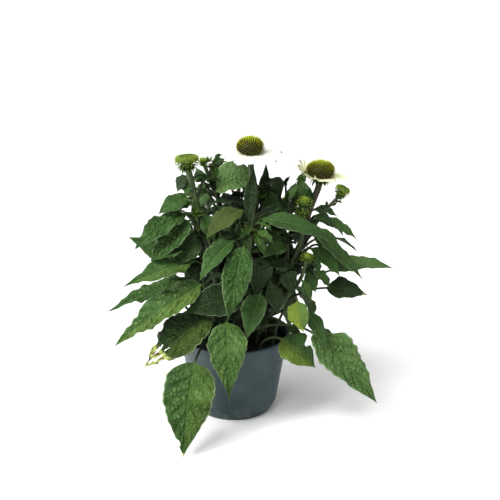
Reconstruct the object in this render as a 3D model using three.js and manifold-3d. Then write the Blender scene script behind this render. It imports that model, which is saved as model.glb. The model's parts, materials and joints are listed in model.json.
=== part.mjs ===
// A purple coneflower plant of a white-rayed sort, in the nursery pot that it is sold in.
// Millimetres, +Z up. The origin is the centre of the pot's underside; +Y points away from the plant's front.

import * as THREE from 'three';
import { mergeVertices } from 'three/addons/utils/BufferGeometryUtils.js';
import Module from 'manifold-3d';

const wasm = await Module();
wasm.setup();

// ---------------------------------------------------------------- driving dimensions

const SEAT = 0.3; // gap between a piece and what carries it
const BLADE = 0.8; // thickness of a leaf blade
const MIDRIB = 0.7; // how far the midrib stands out under a blade
const STALK = 1.6; // radius of a leaf stalk
const MERGED = 1e-3; // vertices closer than this are one

const POT = {
  height: 100,
  rimRadius: 70,
  rimRound: 0.8, // how much the rim's edges are cut back
  lip: 2.2, // how far the rim stands out from the wall below it
  lipHeight: 5,
  footHeight: 12,
  footRadius: 53,
  baseRadius: 46,
  wall: 1.8,
  floor: 2.4,
  sides: 32,
  drains: 6,
  drainRadius: 4.5,
  drainCircle: 31,
  drainSides: 6,
};

const SOIL = { top: 91, relief: 0.6, rings: 2, holeDepth: 18, stemBury: 16, holeSides: 5 };

// Stems: where each stands in the soil, the points that it grows through, and its radius at foot and top.
const STEMS = {
  stem_left: {
    root: [-16, -14],
    path: [
      [-17, -15, 128], [-22, -19, 178], [-30, -24, 226],
      [-40, -28, 260], [-47, -31, 292], [-51.5, -32, 314],
    ],
    radius: [4.2, 3.7],
  },
  stem_fork: {
    root: [-24, 12],
    path: [[-22, 11, 138], [-16, 8, 198], [-15, 6, 239], [-20, 8, 274], [-30, 7, 298], [-35, 6, 311]],
    radius: [3.4, 2.3],
  },
  stem_centre: {
    root: [6, -20],
    path: [
      [8, -24, 128], [13, -35, 183], [19, -43, 226], [22, -45, 260],
      [23, -39, 296], [20.5, -31, 323], [20.5, -32.6, 330],
    ],
    radius: [4, 3.4],
  },
  stem_shaded: {
    root: [8, 14],
    path: [[12, 13, 138], [20, 10, 198], [27, 9, 248], [30, 10, 272]],
    radius: [3.2, 2.2],
  },
  stem_right: {
    root: [36, 2],
    path: [[42, 2, 128], [62, 2, 176], [81, 3, 211], [91, 6, 252], [103, 9.5, 284], [104, 10, 291.5]],
    radius: [4.2, 3.8],
  },
  stem_buds: {
    root: [20, 22],
    path: [[26, 22, 128], [48, 22, 183], [61, 20, 220], [62, 15, 259]],
    radius: [3.2, 2.2],
  },
  stem_buds_front: {
    root: [24, -6],
    path: [[30, -10, 128], [58, -20, 178], [76, -23, 210], [83, -18, 242], [84, -16, 265]],
    radius: [3.4, 2.4],
  },
  stem_low: {
    root: [30, -26],
    path: [[37, -28, 122], [62, -33, 154], [80, -34, 180], [86, -38, 201], [87, -40, 207]],
    radius: [3, 2.1],
  },
  stem_rear_left: {
    root: [-20, 34],
    path: [[-26, 38, 138], [-44, 46, 194], [-52, 50, 256]],
    radius: [3.4, 2.4],
    behind: true,
  },
  stem_rear: {
    root: [4, 40],
    path: [[4, 46, 148], [4, 54, 206], [6, 54, 274]],
    radius: [3.4, 2.4],
    behind: true,
  },
  stem_rear_right: {
    root: [34, 30],
    path: [[42, 36, 138], [64, 46, 186], [80, 52, 238]],
    radius: [3.4, 2.4],
    behind: true,
  },
};

// A branch leaves its stem at the height `from`.
const BRANCHES = {
  stem_right: { from: 212, path: [[95, 1, 232], [109, -1, 254], [127, 0, 274]], radius: [2.2, 2] },
};

// Leaves. `from` is the height on the stem where the stalk leaves it, and `root` is where a basal leaf's stalk
// stands in the soil. `base` and `tip` are the ends of the blade, `face` is the way that its upper side looks,
// `arch` is how far the midrib bows to that side and `sway` how far it bows sideways, `fold` lifts the two
// halves by that many degrees, and `wave` is the height of the edge's waves.
const BROAD = { rise: 0.5, fall: 1.25 }; // outline of the broad, blistered basal leaves
const OVATE = { rise: 0.65, fall: 1.25 };
const LANCE = { rise: 0.8, fall: 1.35 }; // outline of the narrow leaves high on the stems
const LONG = { rise: 0.75, fall: 1.8 }; // with a long drawn-out tip
const TAPERED = { rise: 0.6, fall: 1.75 }; // broad low down, with a long tip
const WEDGE = { rise: 0.55, fall: 1.3 };
const ROUND = { rise: 0.7, fall: 0.9 };

const STEM_LEAVES = {
  stem_left: [
    { from: 278, base: [-52, -34, 279], tip: [-86, -48, 264], face: [-0.1, -0.55, 0.83], width: 26, arch: 4 },
    { from: 298, base: [-52, -30, 304], tip: [-65, -26, 285], face: [-0.5, -0.6, 0.5], width: 19, arch: 3 },
    { from: 244, base: [-55, -38, 261], tip: [-113, -74, 228], face: [-0.1, -0.5, 0.85], width: 33, arch: 7 },
    {
      from: 184, base: [-49, -56, 209], tip: [-128, -90, 188], face: [-0.2, -0.66, 0.72],
      width: 33, arch: 4, fold: 20, wave: 2, shape: LONG, large: true,
    },
    {
      from: 224, base: [-51, -42, 254], tip: [-94, -68, 211], face: [-0.3, -0.68, 0.66],
      width: 38, arch: 4, fold: 18, wave: 3, shape: OVATE,
    },
    { from: 214, base: [-34, -32, 258], tip: [-22, -38, 228], face: [0.3, -0.85, 0.4], width: 22, arch: 3 },
    { from: 234, base: [-42, -40, 256], tip: [-46, -46, 280], face: [0.2, -0.9, 0.3], width: 9, arch: -3 },
  ],
  stem_fork: [
    {
      from: 260, base: [-18, -6, 283], tip: [27, -14, 296], face: [-0.15, -0.62, 0.77],
      width: 52, arch: 8, fold: 36, shape: ROUND,
    },
    { from: 270, base: [-14, 14, 288], tip: [8, 8, 312], face: [-0.4, -0.7, 0.5], width: 17, arch: 3 },
    { from: 284, base: [-25, 12, 309], tip: [4, 14, 318], face: [-0.2, -0.6, 0.75], width: 20, arch: 3 },
    { from: 278, base: [-35, 8, 286], tip: [-41, 6, 270], face: [-0.3, -0.8, 0.4], width: 14, arch: 2 },
    { from: 268, base: [-36, 12, 289], tip: [-44, 10, 306], face: [-0.2, -0.9, 0.2], width: 17, arch: 3 },
    { from: 188, base: [-42, -2, 218], tip: [-86, -16, 224], face: [0, -0.75, 0.65], width: 30, arch: 5 },
    { from: 248, base: [-14, -4, 260], tip: [4, -12, 240], face: [0.2, -0.8, 0.5], width: 24, arch: 5 },
    {
      from: 178, base: [-70, -4, 194], tip: [-126, -12, 226], face: [0.1, -0.75, 0.6],
      width: 30, arch: 1, shape: OVATE,
    },
    { from: 178, base: [-54, 12, 192], tip: [-102, 14, 176], face: [-0.3, -0.1, 0.95], width: 28, arch: 5 },
  ],
  stem_centre: [
    { from: 256, base: [11, -55, 270], tip: [-30, -77, 243], face: [-0.35, -0.6, 0.7], width: 29, arch: 7 },
    { from: 246, base: [36, -53, 260], tip: [110, -60, 236], face: [0.1, -0.55, 0.83], width: 27, arch: 8 },
    {
      from: 194, base: [13, -80, 234], tip: [-5, -107, 156], face: [-0.1, -0.9, 0.4],
      width: 35, arch: 8, wave: 2, shape: OVATE, large: true,
    },
    {
      from: 206, base: [0, -72, 238], tip: [-37, -98, 200], face: [-0.3, -0.75, 0.6],
      width: 29, arch: 6, fold: 28,
    },
    {
      from: 250, base: [19, -50, 264], tip: [24, -43, 321], face: [0.1, -1, 0.1],
      width: 18, arch: -2, fold: 24,
    },
    { from: 174, base: [33, -42, 210], tip: [27, -50, 166], face: [0, -0.95, 0.3], width: 34, arch: 2 },
    { from: 220, base: [32, -32, 244], tip: [34, -38, 214], face: [0.1, -0.95, 0.3], width: 19, arch: 2 },
  ],
  stem_shaded: [
    {
      from: 248, base: [33, 2, 262], tip: [39, 0, 314], face: [0.3, -0.95, 0.1],
      width: 16, arch: -3, sway: 2, fold: 22,
    },
    { from: 266, base: [38, 8, 290], tip: [57, -3, 272], face: [0.3, -0.6, 0.7], width: 23, arch: 12 },
    { from: 234, base: [36, 2, 264], tip: [58, -8, 264], face: [0.1, -0.7, 0.7], width: 26, arch: 4 },
    { from: 194, base: [4, -4, 224], tip: [-24, -10, 238], face: [0, -0.8, 0.6], width: 24, arch: 5 },
    { from: 208, base: [42, -2, 238], tip: [64, -14, 204], face: [0.2, -0.85, 0.4], width: 30, arch: 5 },
    { from: 166, base: [36, -12, 196], tip: [46, -22, 162], face: [0.1, -0.9, 0.4], width: 28, arch: 4 },
    { from: 220, base: [22, -8, 248], tip: [10, -16, 206], face: [-0.1, -0.9, 0.3], width: 30, arch: 4 },
  ],
  stem_right: [
    { from: 236, base: [109, 4, 243], tip: [150, -6, 219], face: [0.3, -0.4, 0.87], width: 18, arch: 5 },
    {
      from: 224, base: [88, -20, 247], tip: [155, -44, 181], face: [0.5, -0.6, 0.6],
      width: 22, arch: 4, sway: 2,
    },
    { from: 238, base: [98, 16, 252], tip: [127, 16, 243], face: [0.3, -0.4, 0.87], width: 17, arch: 3 },
    { from: 170, base: [116.8, 2, 178], tip: [196.5, -4, 182.5], face: [0.05, -0.6, 0.8], width: 23, arch: 14 },
    { from: 200, base: [98, 2, 224], tip: [126, -6, 204], face: [0.2, -0.7, 0.7], width: 24, arch: 5 },
    { from: 184, base: [103, -8, 214], tip: [135, -18, 186], face: [0.3, -0.7, 0.6], width: 26, arch: 5 },
    { from: 194, base: [104, 26, 212], tip: [156, 46, 188], face: [0.2, 0.2, 0.95], width: 26, arch: 7 },
  ],
  stem_buds: [
    { from: 194, base: [58, 46, 224], tip: [56, 82, 210], face: [0.1, 0.5, 0.85], width: 24, arch: 6 },
    { from: 212, base: [48, 30, 238], tip: [24, 36, 228], face: [-0.1, 0.1, 0.95], width: 20, arch: 4 },
    { from: 234, base: [74, 20, 256], tip: [86, 22, 288], face: [0.2, -0.9, 0.2], width: 21.5, arch: 3 },
    { from: 228, base: [50, 18, 252], tip: [50, 20, 288], face: [-0.2, -0.95, 0.2], width: 21.5, arch: 3 },
    { from: 158, base: [66, 38, 174], tip: [104, 46, 158], face: [0.3, 0.2, 0.9], width: 24, arch: 5 },
  ],
  stem_buds_front: [
    {
      from: 186, base: [93, -22, 214], tip: [127, -36, 184], face: [0.3, -0.6, 0.75],
      width: 27, arch: 4, fold: 24,
    },
    { from: 188, base: [62, -38, 224], tip: [34, -58, 214], face: [-0.1, -0.7, 0.7], width: 22, arch: 5 },
    { from: 244, base: [81, -8, 276], tip: [82, -5, 294], face: [0.2, -0.95, 0.1], width: 17, arch: 3 },
    { from: 236, base: [67.3, -14, 275.8], tip: [76.6, -12, 291.1], face: [-0.4, -0.9, 0], width: 9, arch: 3 },
    { from: 148, base: [45, -54, 181], tip: [53, -65, 146], face: [0.2, -0.9, 0.3], width: 21, arch: 2 },
    { from: 166, base: [62, -38, 195], tip: [71, -50, 165], face: [0.1, -0.9, 0.4], width: 21, arch: 2 },
  ],
  stem_low: [
    { from: 148, base: [113, -18, 163], tip: [162, -28, 157.5], face: [0.1, -0.65, 0.75], width: 30, arch: 3 },
    { from: 170, base: [88, -24, 186], tip: [99, -26, 160], face: [0.2, -0.85, 0.4], width: 18, arch: 3 },
    { from: 130, base: [88, -47, 145], tip: [111, -84, 106], face: [0.4, -0.7, 0.5], width: 21, arch: 3 },
    { from: 164, base: [82, -46, 182], tip: [92, -56, 158], face: [0.3, -0.8, 0.5], width: 13, arch: 2 },
  ],
  stem_rear_left: [
    { from: 206, base: [-72, 46, 228], tip: [-112, 44, 206], face: [-0.3, -0.1, 0.95], width: 28, arch: 6 },
    { from: 188, base: [-66, 72, 216], tip: [-104, 104, 184], face: [-0.4, 0.4, 0.85], width: 32, arch: 9 },
    { from: 226, base: [-44, 72, 248], tip: [-34, 112, 224], face: [0.1, 0.5, 0.85], width: 28, arch: 8 },
    { from: 148, base: [-66, 50, 166], tip: [-126, 66, 138], face: [-0.4, 0.2, 0.9], width: 34, arch: 10 },
    { from: 236, base: [-44, 38, 256], tip: [-20, 30, 272], face: [0.2, -0.7, 0.6], width: 24, arch: 5 },
  ],
  stem_rear: [
    { from: 254, base: [-8, 62, 274], tip: [-36, 80, 256], face: [-0.2, 0.2, 0.95], width: 24, arch: 7 },
    { from: 224, base: [30, 72, 248], tip: [52, 108, 224], face: [0.3, 0.5, 0.85], width: 30, arch: 9 },
    { from: 188, base: [0, 88, 212], tip: [-10, 134, 174], face: [-0.1, 0.7, 0.7], width: 36, arch: 10 },
    { from: 238, base: [22, 40, 256], tip: [46, 30, 268], face: [0.1, -0.8, 0.5], width: 24, arch: 5 },
    { from: 202, base: [-6, 36, 226], tip: [-24, 30, 254], face: [-0.1, -0.9, 0.4], width: 28, arch: 4 },
    { from: 148, base: [24, 76, 168], tip: [36, 122, 134], face: [0.2, 0.7, 0.7], width: 34, arch: 9 },
  ],
  stem_rear_right: [
    { from: 202, base: [96, 60, 228], tip: [140, 74, 200], face: [0.4, 0.2, 0.9], width: 28, arch: 8 },
    { from: 208, base: [80, 74, 234], tip: [92, 116, 204], face: [0.2, 0.6, 0.8], width: 30, arch: 9 },
    { from: 158, base: [84, 64, 174], tip: [134, 98, 144], face: [0.4, 0.4, 0.85], width: 34, arch: 9 },
    { from: 212, base: [86, 34, 234], tip: [100, 22, 214], face: [0.3, -0.7, 0.6], width: 22, arch: 4 },
  ],
};

const BASAL_LEAVES = {
  leaf_left_far: {
    root: [-36, -4], base: [-58, -22, 175], tip: [-150, -56, 146], face: [-0.1, -0.45, 0.88],
    width: 29, arch: 2, shape: OVATE,
  },
  leaf_left_long: {
    root: [-28, -26], base: [-38, -60, 181], tip: [-137, -100, 120], face: [-0.25, -0.7, 0.67],
    width: 40, arch: 7, wave: 2, shape: OVATE, large: true,
  },
  leaf_left_holed: {
    root: [-30, -30], base: [-28, -66, 146], tip: [-103, -101, 95], face: [-0.2, -0.75, 0.63],
    width: 54, arch: 4, wave: 2, shape: OVATE, large: true,
  },
  leaf_left_broad: {
    root: [-8, -36], base: [10, -52, 166], tip: [-56, -80, 155], face: [0, -0.76, 0.65],
    width: 44, arch: 4, shape: OVATE,
  },
  leaf_front_left: {
    root: [-22, -42], rise: 34, base: [-44, -99, 99.5], tip: [-56, -145, 2.5], face: [-0.1, -0.93, 0.35],
    width: 62, arch: 8, fold: 14, wave: 3, shape: WEDGE, large: true, sway: 1.2,
  },
  leaf_front: {
    root: [-6, -46], base: [-7, -77, 141], tip: [-4, -99, 50], face: [0, -0.95, 0.3],
    width: 48, arch: 6, fold: 18, wave: 3, shape: TAPERED, large: true,
  },
  leaf_front_inner: {
    root: [16, -40], base: [32, -74, 175], tip: [17, -94, 129], face: [-0.25, -0.85, 0.45],
    width: 33, arch: 3, fold: 30, shape: OVATE,
  },
  leaf_right_large: {
    root: [8, -46], rise: 42, base: [95, -61, 121], tip: [170.5, -85, 42], face: [0.45, -0.75, 0.5],
    width: 50, arch: 7, fold: 14, wave: 3, shape: BROAD, large: true, sway: 0,
  },
  leaf_right_torn: {
    root: [32, -42], base: [58, -59, 113], tip: [97, -76, 84], face: [0.2, -0.8, 0.55],
    width: 42, arch: 4, shape: OVATE,
  },
  leaf_yellow: {
    root: [48, -33], base: [76, -60, 160], tip: [83, -71, 127], face: [-0.35, -0.9, 0.3],
    width: 30, arch: 3, fold: 26, shape: OVATE,
  },
  leaf_left_side: {
    root: [-48, 8], base: [-76, 4, 138], tip: [-126, 4, 96], face: [-0.5, -0.1, 0.8],
    width: 34, arch: 8, shape: OVATE,
  },
};

// Basal leaves behind the plant lie round it like spokes: angle from +X in degrees, and reach and height of
// the tip.
const REAR_LEAVES = [
  { angle: 30, reach: 116, tipHeight: 82, width: 40 },
  { angle: 56, reach: 132, tipHeight: 58, width: 46 },
  { angle: 82, reach: 142, tipHeight: 84, width: 44 },
  { angle: 108, reach: 128, tipHeight: 54, width: 48 },
  { angle: 134, reach: 144, tipHeight: 80, width: 42 },
  { angle: 158, reach: 128, tipHeight: 90, width: 38 },
];
const REAR_ROOT_CIRCLE = 50;
const REAR_BASE = { reach: 84, height: 146 };
const REAR_LOOK = { face: [0.6, 0.8], arch: 8, wave: 2.5 }; // `face` is how far out and how far up it looks

// Heads. `at` is the middle of the underside and `lean` the way that the head's axis points. `reach` is how far
// the rays reach from that axis, and `droop` how far their ends fall. `from` and `to` are degrees round it.
const HEADS = {
  bloom_centre: {
    stem: 'stem_centre', at: [20.5, -33, 332.5], lean: [0, -0.1, 1], radius: 16.7, height: 19.5,
    petals: 14, reach: 38, droop: 2,
  },
  bloom_right: {
    stem: 'stem_right', at: [104.5, 10, 294.5], lean: [0.04, -0.04, 1], radius: 18, height: 20,
    petals: 14, reach: 34, droop: 0,
    young: { from: 120, to: 245, reach: 31, rise: 12, width: 0.5 }, // these rays are narrow and stand up
    short: { from: 245, to: 330, reach: 22, width: 0.75 }, // and these have hardly grown
  },
  bud_left: { stem: 'stem_left', at: [-52.5, -32.5, 319], lean: [-0.06, -0.04, 1], radius: 15, height: 11 },
  bud_right: { stem: 'stem_right', at: [129, -0.5, 277.5], lean: [0.42, -0.12, 0.9], radius: 10, height: 8 },
};

// Closed buds at the tops of the small stems: radius and height of each.
const CLOSED_BUDS = {
  stem_fork: { radius: 4.5, height: 9 },
  stem_shaded: { radius: 3.4, height: 6 },
  stem_buds: { radius: 6, height: 9 },
  stem_buds_front: { radius: 8, height: 12 },
  stem_low: { radius: 6, height: 8 },
  stem_rear_left: { radius: 5.5, height: 8 },
  stem_rear: { radius: 6, height: 9 },
  stem_rear_right: { radius: 5.5, height: 8 },
};

const COLOURS = {
  pot: { color: 0x3f4b52, roughness: 0.5, metalness: 0 },
  soil: { color: 0x1f1a16, roughness: 1, metalness: 0 },
  leaf: { color: 0x2f5a2b, roughness: 0.7, metalness: 0 },
  yellowed: { color: 0x93a443, roughness: 0.7, metalness: 0 },
  petal: { color: 0xefeadb, roughness: 0.6, metalness: 0 },
  cone: { color: 0xa3ac2e, roughness: 0.8, metalness: 0 },
  bud: { color: 0x5b8a3a, roughness: 0.8, metalness: 0 },
};

// ---------------------------------------------------------------- small helpers

const vec = ([x, y, z]) => new THREE.Vector3(x, y, z);
const radians = THREE.MathUtils.degToRad;
const UP = new THREE.Vector3(0, 0, 1);

/** A solid from a closed geometry. */
function solid(geometry) {
  const bare = new THREE.BufferGeometry();
  bare.setAttribute('position', geometry.getAttribute('position'));
  bare.setIndex(geometry.getIndex());
  const merged = mergeVertices(bare, MERGED);
  return new wasm.Manifold(new wasm.Mesh({
    numProp: 3,
    vertProperties: Float32Array.from(merged.getAttribute('position').array),
    triVerts: Uint32Array.from(merged.getIndex().array),
  }));
}

/** The geometry of a solid. */
function geometryOf(manifold) {
  const { vertProperties, triVerts } = manifold.getMesh();
  const geometry = new THREE.BufferGeometry();
  geometry.setAttribute('position', new THREE.BufferAttribute(vertProperties, 3));
  geometry.setIndex(new THREE.BufferAttribute(triVerts, 1));
  geometry.computeVertexNormals();
  return geometry;
}

/** All the solids as one, without the loose scraps that a cut can leave. */
function fuse(solids) {
  const whole = solids.reduce((sum, next) => sum.add(next));
  return whole.decompose().reduce((best, part) => (part.volume() > best.volume() ? part : best));
}

/** A frame at every point of a line, turned as little as possible, which starts with `normal` at `start`. */
function framesAlong(points, normal, start = 0) {
  const tangents = points.map((_, i) => {
    const before = points[Math.max(i - 1, 0)];
    const after = points[Math.min(i + 1, points.length - 1)];
    return after.clone().sub(before).normalize();
  });
  const normals = [];
  normals[start] = normal.clone().projectOnPlane(tangents[start]).normalize();
  const turn = new THREE.Quaternion();
  const carry = (from, to) => {
    turn.setFromUnitVectors(tangents[from], tangents[to]);
    normals[to] = normals[from].clone().applyQuaternion(turn);
  };
  for (let i = start + 1; i < points.length; i++) carry(i - 1, i);
  for (let i = start - 1; i >= 0; i--) carry(i + 1, i);
  return points.map((at, i) => ({
    at,
    tangent: tangents[i],
    normal: normals[i],
    side: tangents[i].clone().cross(normals[i]),
  }));
}

/**
 * A closed skin over rows of points. Each row has an upper and a lower line of equally many points, and both
 * faces are split into triangles alike.
 */
function skin(rows) {
  const across = rows[0].upper.length;
  const positions = rows.flatMap((row) => [...row.upper, ...row.lower].flatMap((p) => p.toArray()));
  const index = [];
  const upper = (i, j) => i * 2 * across + j;
  const lower = (i, j) => upper(i, j) + across;
  const quad = (a, b, c, d) => index.push(a, b, c, a, c, d);
  for (let i = 0; i < rows.length - 1; i++) {
    for (let j = 0; j < across - 1; j++) {
      quad(upper(i, j), upper(i, j + 1), upper(i + 1, j + 1), upper(i + 1, j));
      index.push(lower(i, j), lower(i + 1, j + 1), lower(i, j + 1));
      index.push(lower(i, j), lower(i + 1, j), lower(i + 1, j + 1));
    }
    quad(upper(i, 0), upper(i + 1, 0), lower(i + 1, 0), lower(i, 0));
    quad(upper(i + 1, across - 1), upper(i, across - 1), lower(i, across - 1), lower(i + 1, across - 1));
  }
  const end = rows.length - 1;
  for (let j = 0; j < across - 1; j++) {
    quad(upper(0, j + 1), upper(0, j), lower(0, j), lower(0, j + 1));
    quad(upper(end, j), upper(end, j + 1), lower(end, j + 1), lower(end, j));
  }
  const geometry = new THREE.BufferGeometry();
  geometry.setAttribute('position', new THREE.Float32BufferAttribute(positions, 3));
  geometry.setIndex(index);
  return geometry;
}

/** A sheet of some thickness: points, the faces between them, and the rim that goes round them. */
function sheet(points, faces, rim, thickness) {
  const count = points.length;
  const raised = points.map((p) => p.clone().setZ(p.z + thickness));
  const index = [];
  for (const [a, b, c] of faces) index.push(a + count, b + count, c + count, a, c, b);
  rim.forEach((a, i) => {
    const b = rim[(i + 1) % rim.length];
    index.push(a, b, b + count, a, b + count, a + count);
  });
  const geometry = new THREE.BufferGeometry();
  const positions = [...points, ...raised].flatMap((p) => p.toArray());
  geometry.setAttribute('position', new THREE.Float32BufferAttribute(positions, 3));
  geometry.setIndex(index);
  return geometry;
}

/** A closed skin over rings of `sides` points each; its diagonals cross, so every other point can be a tip. */
function ringSkin(points, sides) {
  const index = [];
  const vertex = (i, k) => i * sides + (k % sides);
  const end = points.length / sides - 1;
  for (let i = 0; i < end; i++) {
    for (let k = 0; k < sides; k++) {
      const [a, b, c, d] = [vertex(i, k), vertex(i, k + 1), vertex(i + 1, k + 1), vertex(i + 1, k)];
      if ((i + k) % 2) index.push(a, b, d, b, c, d);
      else index.push(a, b, c, a, c, d);
    }
  }
  for (let k = 1; k < sides - 1; k++) {
    index.push(vertex(0, 0), vertex(0, k + 1), vertex(0, k));
    index.push(vertex(end, 0), vertex(end, k), vertex(end, k + 1));
  }
  const geometry = new THREE.BufferGeometry();
  geometry.setAttribute('position', new THREE.Float32BufferAttribute(points.flatMap((p) => p.toArray()), 3));
  geometry.setIndex(index);
  return geometry;
}

/** A round rod along a line of points, with a radius at each, and every other side raised by `star` there. */
function rod(points, radii, sides, star = []) {
  const frames = framesAlong(points, new THREE.Vector3(1, 0, 0));
  const rings = frames.flatMap(({ at, normal, side }, i) => Array.from({ length: sides }, (_, k) => {
    const turn = (2 * Math.PI * k) / sides;
    const radius = radii[i] + (k % 2 ? star[i] ?? 0 : 0);
    return at.clone()
      .addScaledVector(normal, Math.cos(turn) * radius)
      .addScaledVector(side, Math.sin(turn) * radius);
  }));
  return ringSkin(rings, sides);
}

// ---------------------------------------------------------------- leaves

const LEAF_STEPS = { small: 4, plain: 6, large: 8 };
const LEAF_ACROSS = { small: 3, plain: 3, large: 5 };
const STALK_STEPS = { small: 1, plain: 2, large: 2 };
const BASAL_STALK_STEPS = 3;
const SMALL_WIDTH = 22; // leaves narrower than this, and those of the stems at the back, are small
const BEND = 0.42; // how far a stalk runs straight on from its root, as a share of its length
const ARRIVAL = 0.65; // and how far before the blade, as a share of that
const FLAT = 0.96; // width of a stalk over its depth
const LEAN = 0.6; // how steeply a stem leaf's stalk rises where it leaves the stem
const WAVES = 2.5; // waves along each edge of a blade
const WAVE = 1.4; // and their height, where a leaf's own isn't given
const FOLD = 14;
const TOOTH = 0.05; // how far the edge's teeth stand out, as a share of the width
const TIP_HALF = 0.5; // half width of the blade's tip

/** Half width at a share `s` of the blade's length, as a share of the broadest. */
function outline(s, { rise, fall }) {
  const peak = rise / (rise + fall);
  return (s / peak) ** rise * ((1 - s) / (1 - peak)) ** fall;
}

/** Points of a leaf's stalk, from where it grows to the blade's base. */
function stalkPoints(start, lead, base, heading, steps) {
  const reach = start.distanceTo(base) * BEND;
  const leaving = start.clone().addScaledVector(lead, reach);
  const arriving = base.clone().addScaledVector(heading, -reach * ARRIVAL);
  return new THREE.CubicBezierCurve3(start, leaving, arriving, base).getPoints(steps);
}

/** One row of a leaf, where it is a stalk. */
function stalkRow({ at, normal, side }, radius, across) {
  const row = { upper: [], lower: [] };
  for (let j = 0; j < across; j++) {
    const a = (2 * j) / (across - 1) - 1;
    const deep = Math.max(radius * Math.sqrt(1 - a * a), BLADE / 2);
    const p = at.clone().addScaledVector(side, a * radius * FLAT);
    row.upper.push(p.clone().addScaledVector(normal, deep));
    row.lower.push(p.addScaledVector(normal, -deep));
  }
  return row;
}

/** One row of a leaf, where it is a blade: `s` runs from its base to its tip. */
function bladeRow({ at, normal, side }, s, i, leaf, across) {
  const { width, fold = FOLD, wave = WAVE, shape = LANCE } = leaf;
  const tooth = 1 + (i % 2 ? TOOTH : -TOOTH);
  const half = Math.max((width / 2) * outline(s, shape) * tooth, s > 0.5 ? TIP_HALF : STALK);
  const row = { upper: [], lower: [] };
  for (let j = 0; j < across; j++) {
    const a = (2 * j) / (across - 1) - 1;
    const ripple = wave * outline(s, shape) * a * Math.sin(2 * Math.PI * WAVES * s);
    const lift = Math.abs(a) * half * Math.sin(radians(fold)) + ripple * Math.abs(a);
    const p = at.clone()
      .addScaledVector(side, a * half * Math.cos(radians(fold)))
      .addScaledVector(normal, lift);
    const rib = j === (across - 1) / 2 ? MIDRIB * (1 - s) : 0;
    row.upper.push(p.clone().addScaledVector(normal, BLADE / 2));
    row.lower.push(p.addScaledVector(normal, -BLADE / 2 - rib));
  }
  return row;
}

/** A whole leaf, stalk and blade, as one closed skin. */
function leafSkin(leaf, start, lead, buried = []) {
  const plain = leaf.width < SMALL_WIDTH || leaf.behind ? 'small' : 'plain';
  const size = leaf.large ? 'large' : plain;
  const base = vec(leaf.base);
  const tip = vec(leaf.tip);
  const along = tip.clone().sub(base).normalize();
  const face = vec(leaf.face).projectOnPlane(along).normalize();
  const sideways = along.clone().cross(face);
  const middle = base.clone().lerp(tip, 0.5)
    .addScaledVector(face, 2 * (leaf.arch ?? 0))
    .addScaledVector(sideways, 2 * (leaf.sway ?? 0));
  const heading = middle.clone().sub(base).normalize();
  const blade = new THREE.QuadraticBezierCurve3(base, middle, tip).getPoints(LEAF_STEPS[size]);
  const stalkSteps = buried.length ? BASAL_STALK_STEPS : STALK_STEPS[size];
  const stalk = [...buried, ...stalkPoints(start, lead, base, heading, stalkSteps).slice(0, -1)];
  const frames = framesAlong([...stalk, ...blade], face, stalk.length + LEAF_STEPS[size] / 2);
  const across = LEAF_ACROSS[size];
  return skin(frames.map((frame, i) => {
    const step = i - stalk.length;
    if (step < 0) return stalkRow(frame, STALK, across);
    return bladeRow(frame, step / LEAF_STEPS[size], step, leaf, across);
  }));
}

/** The stretch of a stem or stalk that stands in its hole in the soil. */
function buriedPoints([x, y]) {
  return [new THREE.Vector3(x, y, SOIL.top - SOIL.stemBury)];
}

/** A basal leaf, whose stalk rises from the soil. */
function basalLeaf(leaf) {
  const start = new THREE.Vector3(leaf.root[0], leaf.root[1], SOIL.top + 1);
  const reach = start.distanceTo(vec(leaf.base)) * BEND;
  const lead = UP.clone().multiplyScalar((leaf.rise ?? reach) / reach);
  return solid(leafSkin(leaf, start, lead, buriedPoints(leaf.root)));
}

/** The rear leaves' places, worked out from their angles. */
function rearLeaf({ angle, reach, tipHeight, width }) {
  const out = [Math.cos(radians(angle)), Math.sin(radians(angle))];
  const place = (radius, height) => [out[0] * radius, out[1] * radius, height];
  return {
    root: place(REAR_ROOT_CIRCLE, 0).slice(0, 2),
    base: place(REAR_BASE.reach, REAR_BASE.height),
    tip: place(reach, tipHeight),
    width,
    ...REAR_LOOK,
    face: place(REAR_LOOK.face[0], REAR_LOOK.face[1]),
    shape: BROAD,
  };
}

// ---------------------------------------------------------------- stems, bracts and closed buds

const STEM_STEP = 26; // millimetres between a stem's rings
const STEM_SIDES = 6;
const SEARCH_STEPS = 24; // halvings when a height is looked for on a stem
const RISE = 8; // how far a stem goes straight up out of the soil

// Rings of the cup under a head and of a closed bud: height, radius and star. The cup's heights are millimetres, the
// bud's are shares of its height, and the rest are shares of the radius.
const BRACT_SIDES = 14;
const BRACT_RINGS = [[-3.4, 0.42, 0.2], [-1.6, 0.5, 0.42], [0, 0.46, 0]];
const BUD_SIDES = 10;
const BUD_RINGS = [[-0.1, 0.45, 0], [0.45, 0.85, 0.5], [0.65, 0.9, 0.05], [1, 0.45, 0]];

/** The line that a stem grows along, above the soil. */
function stemCurve({ root, path }) {
  const foot = new THREE.Vector3(root[0], root[1], SOIL.top + 1);
  const rising = foot.clone().addScaledVector(UP, RISE);
  return new THREE.CatmullRomCurve3([foot, rising, ...path.map(vec)], false, 'centripetal');
}

/** The point of a stem's line at a height. */
function stemAt(curve, height) {
  let low = 0;
  let high = 1;
  for (let i = 0; i < SEARCH_STEPS; i++) {
    const middle = (low + high) / 2;
    if (curve.getPoint(middle).z < height) low = middle;
    else high = middle;
  }
  return curve.getPoint(low);
}

/** A tapered stem along a curve. */
function stemSolid(curve, [foot, top], buried = []) {
  const steps = Math.max(3, Math.round(curve.getLength() / STEM_STEP));
  const above = curve.getSpacedPoints(steps);
  const points = [...buried, ...above];
  const tapered = above.map((_, i) => THREE.MathUtils.lerp(foot, top, i / steps));
  const radii = [...buried.map(() => foot), ...tapered];
  return solid(rod(points, radii, STEM_SIDES));
}

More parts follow.
